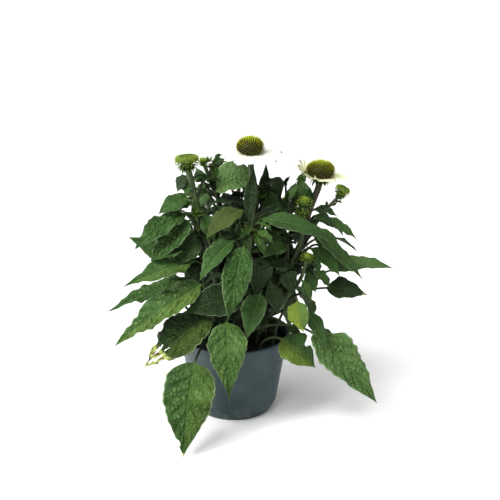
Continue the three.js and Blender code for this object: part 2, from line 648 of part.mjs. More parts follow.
/** A star-shaped rod along an axis: rings of a height, a radius and how far every other point stands out. */
function starRod(at, axis, rings, sides) {
  const points = rings.map(([height]) => at.clone().addScaledVector(axis, height));
  return solid(rod(points, rings.map(([, radius]) => radius), sides, rings.map(([, , star]) => star)));
}

/** The green cup under a head: it widens from the stem, and its rim is cut into pointed bracts that spread. */
function bractCup(at, axis, radius) {
  const rings = [[-6, 3.4, 0], ...BRACT_RINGS.map(([height, r, star]) => [height, r * radius, star * radius])];
  return starRod(at, axis, rings, BRACT_SIDES);
}

/** A closed bud at a stem's top: pointed scales spread round its middle. */
function closedBud(at, axis, { radius, height }) {
  const rings = BUD_RINGS.map(([share, r, star]) => [share * height - 1, r * radius, star * radius]);
  return starRod(at, axis, rings, BUD_SIDES);
}

/** A leaf that grows on a stem. */
function stemLeaf(curve, leaf) {
  const start = stemAt(curve, leaf.from);
  const out = vec(leaf.base).sub(start).setZ(0).normalize();
  return solid(leafSkin(leaf, start, out.addScaledVector(UP, LEAN).normalize()));
}

/** A branch of a stem. */
function branchSolid(curve, { from, path, radius }) {
  const points = [stemAt(curve, from), ...path.map(vec)];
  return stemSolid(new THREE.CatmullRomCurve3(points, false, 'centripetal'), radius);
}

/** The cup under one head, a seat's width below it. */
function cupUnder({ at, lean, radius }) {
  const axis = vec(lean).normalize();
  return bractCup(vec(at).addScaledVector(axis, -SEAT), axis, radius);
}

/** A leafy stem: the stem, its branch, its leaves and its buds as one grown piece. */
function leafyStem(name) {
  const stem = STEMS[name];
  const curve = stemCurve(stem);
  const bud = CLOSED_BUDS[name];
  return fuse([
    stemSolid(curve, stem.radius, buriedPoints(stem.root)),
    ...(BRANCHES[name] ? [branchSolid(curve, BRANCHES[name])] : []),
    ...STEM_LEAVES[name].map((leaf) => stemLeaf(curve, { ...leaf, behind: stem.behind })),
    ...(bud ? [closedBud(curve.getPoint(1), curve.getTangent(1), bud)] : []),
    ...Object.values(HEADS).filter((head) => head.stem === name).map(cupUnder),
  ]);
}

// ---------------------------------------------------------------- heads

// A cone's or bud's florets stand in crossing rows: `spike` out and `sink` in by turns. `widest` is the height of the
// widest ring over the whole height, `under` the slope of the underside and `crown` the radius of the top's flat.
const FLORETS = { spike: 0.9, sink: 0.5, widest: 0.36, under: -0.55, tuck: 1.9, crown: 0.06 };
// A bud is a cushion instead: `across` and `up` are powers that flatten its top and round its edge, and it stands on
// a foot of some radius.
const CUSHION = { across: 0.32, up: 0.6, widest: 0.62, foot: 0.4 };
const FLORET_GRID = { bloom: { around: 20, rings: 9 }, bud: { around: 14, rings: 5 } };

// A ray starts at the share `root` of the cone's radius. Every third is `shorter`, and `curl` is how its fall grows.
const RAYS = { thickness: 0.9, width: 10.6, root: 0.5, shorter: 0.94, curl: 1.6 };
const RAY_HALVES = [[0.3, 0.34], [0.66, 0.5], [0.9, 0.42], [1, 0.16]]; // share of a ray's length, half over whole width

/** Turns a geometry made about +Z to stand at a place along an axis. */
function stand(geometry, at, axis) {
  geometry.applyQuaternion(new THREE.Quaternion().setFromUnitVectors(UP, axis));
  return geometry.translate(at.x, at.y, at.z);
}

/** A head of florets: a dome or a cushion, with the florets' tips standing out of it. */
function floretHead({ at, lean, radius, height, petals }) {
  const axis = vec(lean).normalize();
  const { spike, sink, under, crown } = FLORETS;
  const { around, rings } = petals ? FLORET_GRID.bloom : FLORET_GRID.bud;
  const { across, up } = petals ? { across: 1, up: 1 } : CUSHION;
  const middle = height * (petals ? FLORETS.widest : CUSHION.widest);
  const depth = petals ? middle * FLORETS.tuck : height - middle;
  const points = [];
  const ring = (r, z, i, out, slope) => {
    for (let k = 0; k < around; k++) {
      const step = (i + k) % 2 ? out : (-out * sink) / spike;
      const turn = (2 * Math.PI * k) / around;
      const reach = r + step * Math.cos(slope);
      points.push(new THREE.Vector3(Math.cos(turn) * reach, Math.sin(turn) * reach, z + step * Math.sin(slope)));
    }
  };
  if (!petals) ring(radius * CUSHION.foot, 0, 0, 0, 0);
  for (let i = 0; i <= rings; i++) {
    const climb = THREE.MathUtils.lerp(under, Math.PI / 2, i / rings);
    const high = Math.sign(climb) * Math.abs(Math.sin(climb)) ** up * (climb < 0 ? depth : height - middle);
    const wide = i === rings ? radius * crown : (radius - spike) * Math.cos(climb) ** across;
    ring(wide, middle + high, i, i === 0 || i === rings ? 0 : spike, climb);
  }
  const lift = petals ? RAYS.thickness + SEAT : 0;
  return solid(stand(ringSkin(points, around), vec(at).addScaledVector(axis, lift), axis));
}

/** A geometry with nothing but its positions. */
function stripped(geometry) {
  geometry.deleteAttribute('normal');
  geometry.deleteAttribute('uv');
  return geometry;
}

/** The rays of a bloom: how far each reaches, how wide it is, and how far its end falls. */
function raysOf({ petals, reach, droop, young, short }) {
  return Array.from({ length: petals }, (_, k) => {
    const degrees = (360 * (k + 0.5)) / petals;
    const kind = [young, short].find((rays) => rays && degrees > rays.from && degrees < rays.to);
    return {
      turn: radians(degrees),
      reach: kind ? kind.reach : reach * (k % 3 === 1 ? RAYS.shorter : 1),
      width: RAYS.width * (kind ? kind.width : 1),
      fall: kind?.rise ? -kind.rise : droop + (k % 2),
    };
  });
}

/** The ring of rays of a bloom: a thin disc cut into rays, which bend down or up past the cone's edge. */
function rayRing(head) {
  const { at, lean, radius } = head;
  const rays = raysOf(head);
  const foot = radius * RAYS.root;
  const gap = Math.PI / rays.length;
  const points = [new THREE.Vector3()];
  const rows = RAY_HALVES.length;
  for (const { turn, reach, width, fall } of rays) {
    const place = (r, across) => {
      const drop = fall * Math.max(0, (r - radius) / (reach - radius)) ** RAYS.curl;
      const flat = new THREE.Vector3(r, across, -drop);
      return flat.applyAxisAngle(UP, turn);
    };
    points.push(new THREE.Vector3(foot, 0, 0).applyAxisAngle(UP, turn - gap));
    for (const side of [-1, 1]) {
      points.push(...RAY_HALVES.map(([share, half]) => (
        place(THREE.MathUtils.lerp(foot, reach, share), side * half * width))));
    }
  }
  const valley = (k) => 1 + (k % rays.length) * (2 * rows + 1);
  const left = (k, i) => valley(k) + 1 + i;
  const right = (k, i) => left(k, i) + rows;
  const faces = [];
  const rim = [];
  rays.forEach((_, k) => {
    faces.push([0, valley(k), left(k, 0)], [0, left(k, 0), right(k, 0)], [0, right(k, 0), valley(k + 1)]);
    for (let i = 0; i < rows - 1; i++) {
      faces.push([left(k, i), left(k, i + 1), right(k, i + 1)], [left(k, i), right(k, i + 1), right(k, i)]);
    }
    rim.push(valley(k));
    for (let i = 0; i < rows; i++) rim.push(left(k, i));
    for (let i = rows - 1; i >= 0; i--) rim.push(right(k, i));
  });
  return solid(stand(sheet(points, faces, rim, RAYS.thickness), vec(at), vec(lean).normalize()));
}

// ---------------------------------------------------------------- pot and soil

/** Radius of the pot's outer wall at a height. */
function potRadius(height) {
  const under = POT.rimRadius - POT.lip;
  const t = (height - POT.footHeight) / (POT.height - POT.footHeight);
  return THREE.MathUtils.lerp(POT.footRadius, under, t);
}

/** Half of the pot's section, from the middle of its underside round the rim to the middle of its floor. */
function potProfile() {
  const { height, rimRadius, rimRound, lip, lipHeight, footHeight, footRadius, baseRadius, wall, floor } = POT;
  const lipUnder = height - lipHeight;
  return [
    [0, 0], [baseRadius, 0], [footRadius, footHeight], [potRadius(lipUnder), lipUnder],
    [rimRadius - rimRound, lipUnder + lip / 2], [rimRadius, height - rimRound], [rimRadius - rimRound, height],
    [rimRadius - lip - wall + rimRound, height], [potRadius(height - lip) - wall, height - lip],
    [footRadius - wall, footHeight], [baseRadius - wall, floor], [0, floor],
  ].map(([r, h]) => new THREE.Vector2(r, h));
}

/** The pot: a thin tapered shell with a rolled rim, a chamfered foot and drainage holes. */
function potSolid() {
  const shell = new THREE.LatheGeometry(potProfile(), POT.sides).rotateX(Math.PI / 2);
  let pot = solid(stripped(shell));
  for (let k = 0; k < POT.drains; k++) {
    const turn = (2 * Math.PI * (k + 0.5)) / POT.drains;
    const drain = new THREE.CylinderGeometry(POT.drainRadius, POT.drainRadius, 4 * POT.floor, POT.drainSides);
    drain.rotateX(Math.PI / 2);
    drain.translate(Math.cos(turn) * POT.drainCircle, Math.sin(turn) * POT.drainCircle, 0);
    pot = pot.subtract(solid(stripped(drain)));
  }
  return pot;
}

/** Height of the soil's surface, crumbly and a little mounded in the middle. */
function soilHeight(x, y) {
  const crumbs = Math.sin(x * 0.41 + 1.3) * Math.cos(y * 0.37 - 0.6) + 0.5 * Math.sin(x * 0.83 - y * 0.61);
  return SOIL.top + SOIL.relief * crumbs;
}

/** Every stem's and stalk's foot: its place in the soil and the radius that stands in it. */
function feet() {
  const stems = Object.values(STEMS).map(({ root, radius }) => ({ root, radius: radius[0] }));
  const stalks = [...Object.values(BASAL_LEAVES), ...REAR_LEAVES.map(rearLeaf)]
    .map(({ root }) => ({ root, radius: STALK }));
  return [...stems, ...stalks];
}

/** Half of the soil's section, a seat's width inside the pot. */
function soilProfile(edge) {
  const { footHeight, footRadius, baseRadius, wall, floor } = POT;
  const inside = wall + SEAT;
  const rings = Array.from({ length: SOIL.rings }, (_, i) => [(edge * (SOIL.rings - i)) / SOIL.rings, SOIL.top]);
  return [
    [0, floor + SEAT], [baseRadius - inside, floor + SEAT], [footRadius - inside, footHeight + SEAT], ...rings,
    [0, SOIL.top],
  ].map(([r, h]) => new THREE.Vector2(r, h));
}

/** The soil: it fills the pot, and each stem and stalk stands in a hole of its own. */
function soilSolid() {
  const edge = potRadius(SOIL.top) - POT.wall - SEAT;
  const body = new THREE.LatheGeometry(soilProfile(edge), POT.sides).rotateX(Math.PI / 2);
  const merged = mergeVertices(stripped(body), MERGED);
  const position = merged.getAttribute('position');
  for (let i = 0; i < position.count; i++) {
    const [x, y, z] = [position.getX(i), position.getY(i), position.getZ(i)];
    if (z > SOIL.top - 1 && Math.hypot(x, y) < edge - 1) position.setZ(i, soilHeight(x, y));
  }
  let soil = solid(merged);
  for (const { root: [x, y], radius } of feet()) {
    const across = (radius + SEAT) / Math.cos(Math.PI / SOIL.holeSides);
    const hole = new THREE.CylinderGeometry(across, across, 2 * SOIL.holeDepth, SOIL.holeSides);
    hole.rotateX(Math.PI / 2).translate(x, y, SOIL.top);
    soil = soil.subtract(solid(stripped(hole)));
  }
  return soil;
}

// ---------------------------------------------------------------- the plant

const plant = new THREE.Group();

/** Adds one named piece to the plant. */
function add(name, manifold, colour) {
  const mesh = new THREE.Mesh(geometryOf(manifold), new THREE.MeshStandardMaterial(colour));
  mesh.name = name;
  plant.add(mesh);
}

add('pot', potSolid(), COLOURS.pot);
add('soil', soilSolid(), COLOURS.soil);
for (const name of Object.keys(STEMS)) add(name, leafyStem(name), COLOURS.leaf);
for (const [name, leaf] of Object.entries(BASAL_LEAVES)) {
  add(name, basalLeaf(leaf), name === 'leaf_yellow' ? COLOURS.yellowed : COLOURS.leaf);
}
REAR_LEAVES.forEach((spoke, k) => add(`leaf_rear_${k + 1}`, basalLeaf(rearLeaf(spoke)), COLOURS.leaf));
for (const [name, head] of Object.entries(HEADS)) {
  add(`${name}_${head.petals ? 'cone' : 'head'}`, floretHead(head), head.petals ? COLOURS.cone : COLOURS.bud);
  if (head.petals) add(`${name}_rays`, rayRing(head), COLOURS.petal);
}

export default plant;
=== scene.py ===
"""A coneflower plant with white rays, in the nursery pot that it is sold in.

Sizes are millimetres until a mesh is finished, and metres from then on. The origin is the middle of the pot's
underside, +Z points up and +Y points away from the plant's front.
"""

import json
import logging
import math
import random
from collections.abc import Callable, Sequence
from dataclasses import dataclass
from enum import Enum

import bmesh
import bpy
from mathutils import Matrix, Vector, noise

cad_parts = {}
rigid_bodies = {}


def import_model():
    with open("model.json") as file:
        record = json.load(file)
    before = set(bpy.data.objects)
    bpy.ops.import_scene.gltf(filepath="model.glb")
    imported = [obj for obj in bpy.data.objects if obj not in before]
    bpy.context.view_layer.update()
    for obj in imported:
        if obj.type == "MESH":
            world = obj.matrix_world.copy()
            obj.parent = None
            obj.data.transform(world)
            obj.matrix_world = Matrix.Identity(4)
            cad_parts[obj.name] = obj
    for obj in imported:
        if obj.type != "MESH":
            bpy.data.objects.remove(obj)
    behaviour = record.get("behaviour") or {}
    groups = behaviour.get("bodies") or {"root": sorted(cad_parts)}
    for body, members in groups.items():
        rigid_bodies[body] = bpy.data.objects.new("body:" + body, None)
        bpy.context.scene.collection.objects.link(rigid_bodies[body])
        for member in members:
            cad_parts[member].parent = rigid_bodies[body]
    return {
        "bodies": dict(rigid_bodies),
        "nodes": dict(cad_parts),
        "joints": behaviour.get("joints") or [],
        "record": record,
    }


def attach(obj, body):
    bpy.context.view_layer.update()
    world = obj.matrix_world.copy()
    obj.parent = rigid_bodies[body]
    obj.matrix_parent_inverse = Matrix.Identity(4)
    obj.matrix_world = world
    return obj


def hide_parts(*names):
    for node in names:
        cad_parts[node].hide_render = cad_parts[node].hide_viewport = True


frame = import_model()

LOG = logging.getLogger("coneflower")

Pair = tuple[float, float]
Triple = tuple[float, float, float]
Colour = tuple[float, float, float]
Mark = tuple[Vector, Triple, Triple, Triple]
Material = bpy.types.Material
Socket = bpy.types.NodeSocket
Vert = bmesh.types.BMVert
Row = tuple[int, float, float, float, Triple, float]  # a ring of scales

MM = 0.001
UP = Vector((0, 0, 1))
FULL_TURN = 2 * math.pi
GOLDEN = math.pi * (3 - math.sqrt(5))
WELD = 0.004  # vertices closer than this become one
MARKS = ("blade", "vein", "look")  # what each vertex tells the finishes
PLAIN = (0, 0, 0)  # a mark that tells nothing
SOIL_TOP = 91.0
BURY = 16.0  # how deep the stems and the stalks stand in the soil


# ---------------------------------------------------------------- small helpers


def lerp(low: float, high: float, share: float) -> float:
    """Returns the value at a share of the way from low to high."""
    return low + (high - low) * share


def smooth(low: float, high: float, value: float) -> float:
    """Returns 0 below low, 1 above high and an eased share between them."""
    share = min(max((value - low) / (high - low), 0.0), 1.0)
    return share * share * (3 - 2 * share)


def seated(place: Triple, axis: Vector) -> Matrix:
    """Returns the transform that stands a shape made round +Z at a place along an axis."""
    return Matrix.Translation(Vector(place)) @ UP.rotation_difference(axis).to_matrix().to_4x4()


def polar(turn: float, radius: float, height: float) -> Vector:
    """Returns the point at an angle, a radius and a height round the z axis."""
    return Vector((math.cos(turn) * radius, math.sin(turn) * radius, height))


def meshed(name: str, mesh: bmesh.types.BMesh) -> bpy.types.Mesh:
    """Turns a mesh in the making into a finished one."""
    data = bpy.data.meshes.new(name)
    mesh.to_mesh(data)
    mesh.free()
    return data


def placed(name: str, data: bpy.types.ID) -> bpy.types.Object:
    """Puts a mesh, a light or a camera into the scene."""
    made = bpy.data.objects.new(name, data)
    bpy.context.scene.collection.objects.link(made)
    return made


@dataclass
class Frame:
    """A place on a line, with the line's direction and the two directions across it."""

    at: Vector
    along: Vector
    normal: Vector
    side: Vector


def frames_along(points: Sequence[Vector], normal: Vector, start: int = 0) -> list[Frame]:
    """Turns a frame along a line as little as possible.

    Args:
        points: The line's points in order.
        normal: Where the frame's normal points at the starting point, roughly.
        start: The number of the starting point.

    Returns:
        One frame for each point.
    """
    last = len(points) - 1
    heads = [(points[min(i + 1, last)] - points[max(i - 1, 0)]).normalized() for i in range(last + 1)]
    normals = [normal] * (last + 1)
    normals[start] = (normal - normal.project(heads[start])).normalized()
    for i in range(start + 1, last + 1):
        normals[i] = heads[i - 1].rotation_difference(heads[i]) @ normals[i - 1]
    for i in range(start - 1, -1, -1):
        normals[i] = heads[i + 1].rotation_difference(heads[i]) @ normals[i + 1]
    return [Frame(points[i], heads[i], normals[i], heads[i].cross(normals[i])) for i in range(last + 1)]


class Line:
    """A smooth line through points, which keeps clear of loops where they are unevenly spaced."""

    FINE = 200  # how many steps measure the line
    HALVINGS = 24  # how often a search for a height halves its range

    def __init__(self, points: Sequence[Vector]) -> None:
        """Adds a point before the first and one after the last, so that every stretch has two neighbours."""
        first, last = 2 * points[0] - points[1], 2 * points[-1] - points[-2]
        self.points = [first, *points, last]

    def at(self, share: float) -> Vector:
        """Returns the point at a share of the line's stretches."""
        stretches = len(self.points) - 3
        i = min(int(share * stretches), stretches - 1)
        w = share * stretches - i
        p, q, r, s = self.points[i : i + 4]
        before, here, after = (max((b - a).length, 1e-6) ** 0.5 for a, b in ((p, q), (q, r), (r, s)))
        leaving = ((q - p) / before - (r - p) / (before + here) + (r - q) / here) * here
        coming = ((r - q) / here - (s - q) / (here + after) + (s - r) / after) * here
        cube = 2 * q - 2 * r + leaving + coming
        square = 3 * r - 3 * q - 2 * leaving - coming
        return q + leaving * w + square * w**2 + cube * w**3

    def at_height(self, height: float) -> Vector:
        """Returns the point at a height of a line that climbs."""
        low, high = 0.0, 1.0
        for _ in range(self.HALVINGS):
            middle = (low + high) / 2
            if self.at(middle).z < height:
                low = middle
            else:
                high = middle
        return self.at(low)

    def walk(self, step: float) -> list[Vector]:
        """Returns evenly spaced points along the line, about a step apart."""
        fine = [self.at(i / self.FINE) for i in range(self.FINE + 1)]
        run = [0.0]
        for a, b in zip(fine, fine[1:]):
            run.append(run[-1] + (b - a).length)
        count = max(3, round(run[-1] / step))
        found, k = [], 0
        for i in range(count + 1):
            goal = run[-1] * i / count
            while k < self.FINE - 1 and run[k + 1] < goal:
                k += 1
            found.append(fine[k].lerp(fine[k + 1], (goal - run[k]) / (run[k + 1] - run[k])))
        return found

    def top_heading(self) -> Vector:
        """Returns the direction of the line's end."""
        return (self.at(1) - self.at(0.9999)).normalized()


# ---------------------------------------------------------------- finishes


class Shader:
    """A material in the making: a Principled shader, and short calls for the nodes that feed it."""

    def __init__(self, name: str) -> None:
        """Makes the material and finds its shader."""
        self.material = bpy.data.materials.new(name)
        self.material.use_nodes = True
        self.tree = self.material.node_tree
        self.skin = self.tree.nodes["Principled BSDF"]

    def feed(self, socket: Socket, value: object) -> None:
        """Links a socket to another, or sets its value."""
        if isinstance(value, Socket):
            self.tree.links.new(value, socket)
        elif isinstance(value, tuple) and len(value) == 3 and socket.type == "RGBA":
            socket.default_value = (*value, 1.0)
        else:
            socket.default_value = value

    def node(self, kind: str, **settings: object) -> bpy.types.Node:
        """Adds a node and sets its properties."""
        made = self.tree.nodes.new(kind)
        for name, value in settings.items():
            setattr(made, name, value)
        return made

    def set(self, **sockets: object) -> None:
        """Sets or links the shader's own sockets, named with underscores for spaces."""
        for name, value in sockets.items():
            self.feed(self.skin.inputs[name.replace("_", " ")], value)

    def marks(self, name: str) -> tuple[Socket, ...]:
        """Returns the three numbers of a vertex mark."""
        split = self.node("ShaderNodeSeparateXYZ")
        self.feed(split.inputs[0], self.node("ShaderNodeAttribute", attribute_name=name).outputs["Vector"])
        return tuple(split.outputs)

    def place(self) -> Socket:
        """Returns the place on the piece."""
        return self.node("ShaderNodeTexCoord").outputs["Object"]

    def math(self, operation: str, *values: object, clamp: bool = False) -> Socket:
        """Returns the result of a sum on one to three values."""
        made = self.node("ShaderNodeMath", operation=operation, use_clamp=clamp)
        for socket, value in zip(made.inputs, values):
            self.feed(socket, value)
        return made.outputs[0]

    def plus(self, value: object, more: object, clamp: bool = False) -> Socket:
        """Returns the sum of two values."""
        return self.math("ADD", value, more, clamp=clamp)

    def less(self, value: object, by: object, clamp: bool = False) -> Socket:
        """Returns the difference of two values."""
        return self.math("SUBTRACT", value, by, clamp=clamp)

    def times(self, value: object, by: object) -> Socket:
        """Returns the product of two values."""
        return self.math("MULTIPLY", value, by)

    def scaled(self, value: object, by: object, more: object, clamp: bool = False) -> Socket:
        """Returns the product of two values and adds more to it."""
        return self.math("MULTIPLY_ADD", value, by, more, clamp=clamp)

    def ease(self, value: object, low: float, high: float, bottom: float = 0.0, top: float = 1.0) -> Socket:
        """Returns bottom where the value is under low, top where it is over high, and an eased value between."""
        made = self.node("ShaderNodeMapRange", interpolation_type="SMOOTHSTEP")
        for socket, given in zip(made.inputs, (value, low, high, bottom, top)):
            self.feed(socket, given)
        return made.outputs[0]

    def mix(self, share: object, below: object, above: object) -> Socket:
        """Returns a colour between two others."""
        made = self.node("ShaderNodeMix", data_type="RGBA")
        for name, value in (("Factor_Float", share), ("A_Color", below), ("B_Color", above)):
            self.feed(next(s for s in made.inputs if s.identifier == name), value)
        return next(s for s in made.outputs if s.identifier == "Result_Color")

    def ramp(self, value: object, *stops: tuple[float, Colour]) -> Socket:
        """Returns the colour of a ramp at a value."""
        made = self.node("ShaderNodeValToRGB")
        points = made.color_ramp.elements
        while len(points) < len(stops):
            points.new(0.5)
        for point, (where, _) in zip(points, stops):
            point.position = where
        for point, (_, colour) in zip(points, stops):
            point.color = (*colour, 1.0)
        self.feed(made.inputs[0], value)
        return made.outputs[0]

    def noise(self, size: float, detail: float = 3.0, where: object = None) -> Socket:
        """Returns a cloudy value from 0 to 1 whose clouds are about a size across, in metres."""
        made = self.node("ShaderNodeTexNoise")
        self.feed(made.inputs["Vector"], where or self.place())
        self.feed(made.inputs["Scale"], 1 / size)
        self.feed(made.inputs["Detail"], detail)
        return made.outputs[0]

    def cells(self, size: float) -> Socket:
        """Returns the distance to the edge of a net of cells, in cells of a size in metres."""
        made = self.node("ShaderNodeTexVoronoi", feature="DISTANCE_TO_EDGE")
        self.feed(made.inputs["Vector"], self.place())
        self.feed(made.inputs["Scale"], 1 / size)
        return made.outputs["Distance"]

    def bump(self, height: Socket, strength: float, depth: float) -> None:
        """Raises the surface by a height that is a depth in metres at its most."""
        made = self.node("ShaderNodeBump")
        self.feed(made.inputs["Strength"], strength)
        self.feed(made.inputs["Distance"], depth)
        self.feed(made.inputs["Height"], height)
        self.set(Normal=made.outputs[0])


@dataclass(frozen=True)
class LeafFinish:
    """The rough, satin skin of a leaf: veined and netted above, paler below, yellowed or dry in places, with painted
    shade and painted light from its tone and its puffs.
    """

    name: str = "leaf_skin"
    # shaded and bright are the leaf's green with painted shade and with painted light, as well as its darker and paler
    # tones
    shaded: Colour = (0.004, 0.016, 0.002)
    green: Colour = (0.022, 0.068, 0.01)
    bright: Colour = (0.088, 0.162, 0.045)
    under: Colour = (0.04, 0.085, 0.016)
    rib: Colour = (0.1, 0.175, 0.035)
    margin: Colour = (0.24, 0.34, 0.15)
    stalk: Colour = (0.02, 0.034, 0.009)
    yellow: Colour = (0.23, 0.3, 0.022)
    brown: Colour = (0.075, 0.045, 0.02)
    husk: Colour = (0.34, 0.4, 0.12)
    cloud: float = 0.022  # sizes of its patterns, in metres
    speck: float = 0.0022
    net: float = 0.0024
    puff: float = 0.0062
    crumple: float = 0.016
    satin: float = 0.012
    gloss: float = 0.21
    relief: float = 0.0008  # depth of its relief, in metres

    def material(self) -> Material:
        """Builds the material."""
        s = Shader(self.name)
        across, along, side = s.marks("blade")
        vein, offset, puffed = s.marks("vein")
        tone, yellowed, dried = s.marks("look")
        out = s.math("ABSOLUTE", across)
        clouds = s.noise(self.cloud, 3.0)
        # The level paints light and shade: a low tone paints shade on leaves deep in the plant, a high tone paints
        # light on leaves that face the sky, and the puffs are painted lighter, with painted shade in the grooves
        # between them.
        level = s.plus(s.scaled(clouds, 0.7, 0.15), s.times(tone, 0.5))
        level = s.plus(level, s.scaled(puffed, 0.4, -0.14), clamp=True)
        level = s.scaled(s.less(s.noise(self.speck, 2.0), 0.5), 0.22, level, clamp=True)
        colour = s.ramp(level, (0.1, self.shaded), (0.48, self.green), (0.9, self.bright))
        colour = s.mix(s.times(yellowed, s.ease(clouds, 0.2, 0.7, 0.6, 1.0)), colour, self.yellow)
        ray = s.math("ABSOLUTE", s.less(s.math("FRACT", vein), 0.5))
        laterals = s.times(s.ease(ray, 0.43, 0.495), s.ease(out, 1.0, 0.55, 0.25, 0.6))
        net = s.ease(s.cells(self.net), 0.0, 0.09, 0.3, 0.0)
        colour = s.mix(s.times(s.math("MAXIMUM", laterals, net), 0.5), colour, self.rib)
        width = s.ease(along, 0.0, 1.0, 1.15, 0.35)
        midrib = s.ease(s.math("DIVIDE", s.math("ABSOLUTE", offset), width), 0.2, 0.85, 1.0, 0.0)
        # Ribs and margins are dimmed on leaves whose tone paints shade on them.
        colour = s.mix(s.times(midrib, s.ease(tone, -1.2, -0.1, 0.15, 0.55)), colour, self.rib)
        edge = s.ease(out, 0.92, 0.985, 0.0, 0.8)
        colour = s.mix(s.times(edge, s.ease(tone, -1.2, -0.3, 0.4, 1.0)), colour, self.margin)
        below = s.ease(side, 0.3, -0.3, 0.0, 0.75)
        colour = s.mix(below, colour, self.under)
        colour = s.mix(s.ease(along, 0.0, -0.05), colour, self.stalk)
        s.set(Base_Color=self.withered(s, colour, dried), Specular_IOR_Level=self.gloss)
        rough = s.plus(s.scaled(s.noise(self.satin), 0.4, 0.12), s.ease(tone, -1.0, 0.3, 0.15, 0.0))
        s.set(Roughness=s.plus(rough, s.times(below, 0.25), clamp=True))
        s.bump(self.grain(s, puffed, laterals), 0.85, self.relief)
        return s.material

    def withered(self, s: Shader, colour: Socket, dried: Socket) -> Socket:
        """Returns a colour that gives way to brown and husk in ragged patches where the blade is dry."""
        ragged = s.times(s.less(s.noise(0.007), 0.5), 0.9)
        dead = s.mix(s.ease(s.noise(0.004), 0.4, 0.52), self.brown, self.husk)
        return s.mix(s.ease(s.plus(dried, ragged), 0.42, 0.62), colour, dead)

    def grain(self, s: Shader, puffed: Socket, laterals: Socket) -> Socket:
        """Returns the height of the fine net, and of the coarser puffs where the blade is crumpled."""
        fine = s.plus(s.ease(s.cells(self.net), 0.0, 0.3), s.times(s.noise(0.0009, 2.0), 0.6))
        crumpled = s.times(s.ease(s.noise(self.crumple), 0.35, 0.6, 0.35, 1.0), s.ease(puffed, 0.1, 0.8, 0.4, 3.6))
        puffs = s.times(s.ease(s.cells(self.puff), 0.0, 0.3), crumpled)
        return s.less(s.plus(fine, puffs), s.times(laterals, 0.8))


@dataclass(frozen=True)
class StemFinish:
    """A stem: green with paler streaks that run along it, and darker towards its foot."""

    name: str = "stem_skin"
    dark: Colour = (0.008, 0.014, 0.003)
    green: Colour = (0.03, 0.056, 0.01)
    streak: Colour = (0.085, 0.13, 0.03)
    flush: Colour = (0.035, 0.024, 0.014)
    gloss: float = 0.35
    relief: float = 0.0004  # in metres

    def material(self) -> Material:
        """Builds the material."""
        s = Shader(self.name)
        around, along, _ = s.marks("blade")
        stretched = s.node("ShaderNodeCombineXYZ")
        s.feed(stretched.inputs[0], s.times(around, 0.03))
        s.feed(stretched.inputs[1], s.times(along, 0.02))
        streaks = s.noise(0.0016, 3.0, stretched.outputs[0])
        colour = s.ramp(streaks, (0.3, self.dark), (0.52, self.green), (0.78, self.streak))
        browned = s.math("MAXIMUM", s.ease(s.noise(0.018), 0.5, 0.75, 0.0, 0.55), s.marks("look")[0])
        colour = s.mix(browned, colour, self.flush)
        colour = s.mix(s.ease(along, 0.65, 0.15, 0.0, 0.9), colour, self.dark)
        s.set(Base_Color=colour, Roughness=s.ease(streaks, 0.0, 1.0, 0.4, 0.62), Specular_IOR_Level=self.gloss)
        s.bump(s.plus(streaks, s.times(s.noise(0.0007), 0.5)), 0.5, self.relief)
        return s.material


@dataclass(frozen=True)
class ScaleFinish:
    """Bracts, bud scales and young florets: dark at the foot, green, and bright at the tips."""

    name: str = "bud_scales"
    foot: Colour = (0.009, 0.017, 0.004)
    green: Colour = (0.038, 0.078, 0.008)
    tip: Colour = (0.27, 0.37, 0.035)
    brown: Colour = (0.06, 0.04, 0.018)
    gloss: float = 0.18
    relief: float = 0.0003  # in metres

    def material(self) -> Material:
        """Builds the material."""
        s = Shader(self.name)
        _, along, _ = s.marks("blade")
        tone, _, dried = s.marks("look")
        level = s.plus(along, s.times(tone, 0.5))
        level = s.scaled(s.less(s.noise(0.003), 0.5), 0.5, level, clamp=True)
        colour = s.ramp(level, (0.0, self.foot), (0.45, self.green), (1.0, self.tip))
        colour = s.mix(dried, colour, self.brown)
        s.set(Base_Color=colour, Roughness=s.ease(level, 0.0, 1.0, 0.45, 0.7), Specular_IOR_Level=self.gloss)
        s.bump(s.noise(0.0008), 0.4, self.relief)
        return s.material


@dataclass(frozen=True)
class ConeFinish:
    """The spines of a cone: nearly black between them, and olive to yellow-green at their tips."""

    name: str = "cone_spines"
    deep: Colour = (0.01, 0.009, 0.002)
    olive: Colour = (0.062, 0.068, 0.003)
    tip: Colour = (0.52, 0.53, 0.01)
    crown: Colour = (0.4, 0.5, 0.01)
    gloss: float = 0.15
    relief: float = 0.0002  # in metres

    def material(self) -> Material:
        """Builds the material."""
        s = Shader(self.name)
        along, climb, _ = s.marks("blade")
        tone, _, _ = s.marks("look")
        level = s.scaled(tone, 0.3, along)
        level = s.less(level, s.ease(climb, 0.35, 0.0, 0.0, 0.16), clamp=True)
        colour = s.ramp(level, (0.25, self.deep), (0.68, self.olive), (1.0, self.tip))
        high = s.times(s.ease(climb, 0.42, 0.85, 0.0, 0.85), s.ease(along, 0.1, 0.8))
        colour = s.mix(high, colour, self.crown)
        s.set(Base_Color=colour, Roughness=s.ease(s.noise(0.002), 0.2, 0.8, 0.4, 0.6), Specular_IOR_Level=self.gloss)
        s.bump(s.noise(0.0006), 0.3, self.relief)
        return s.material


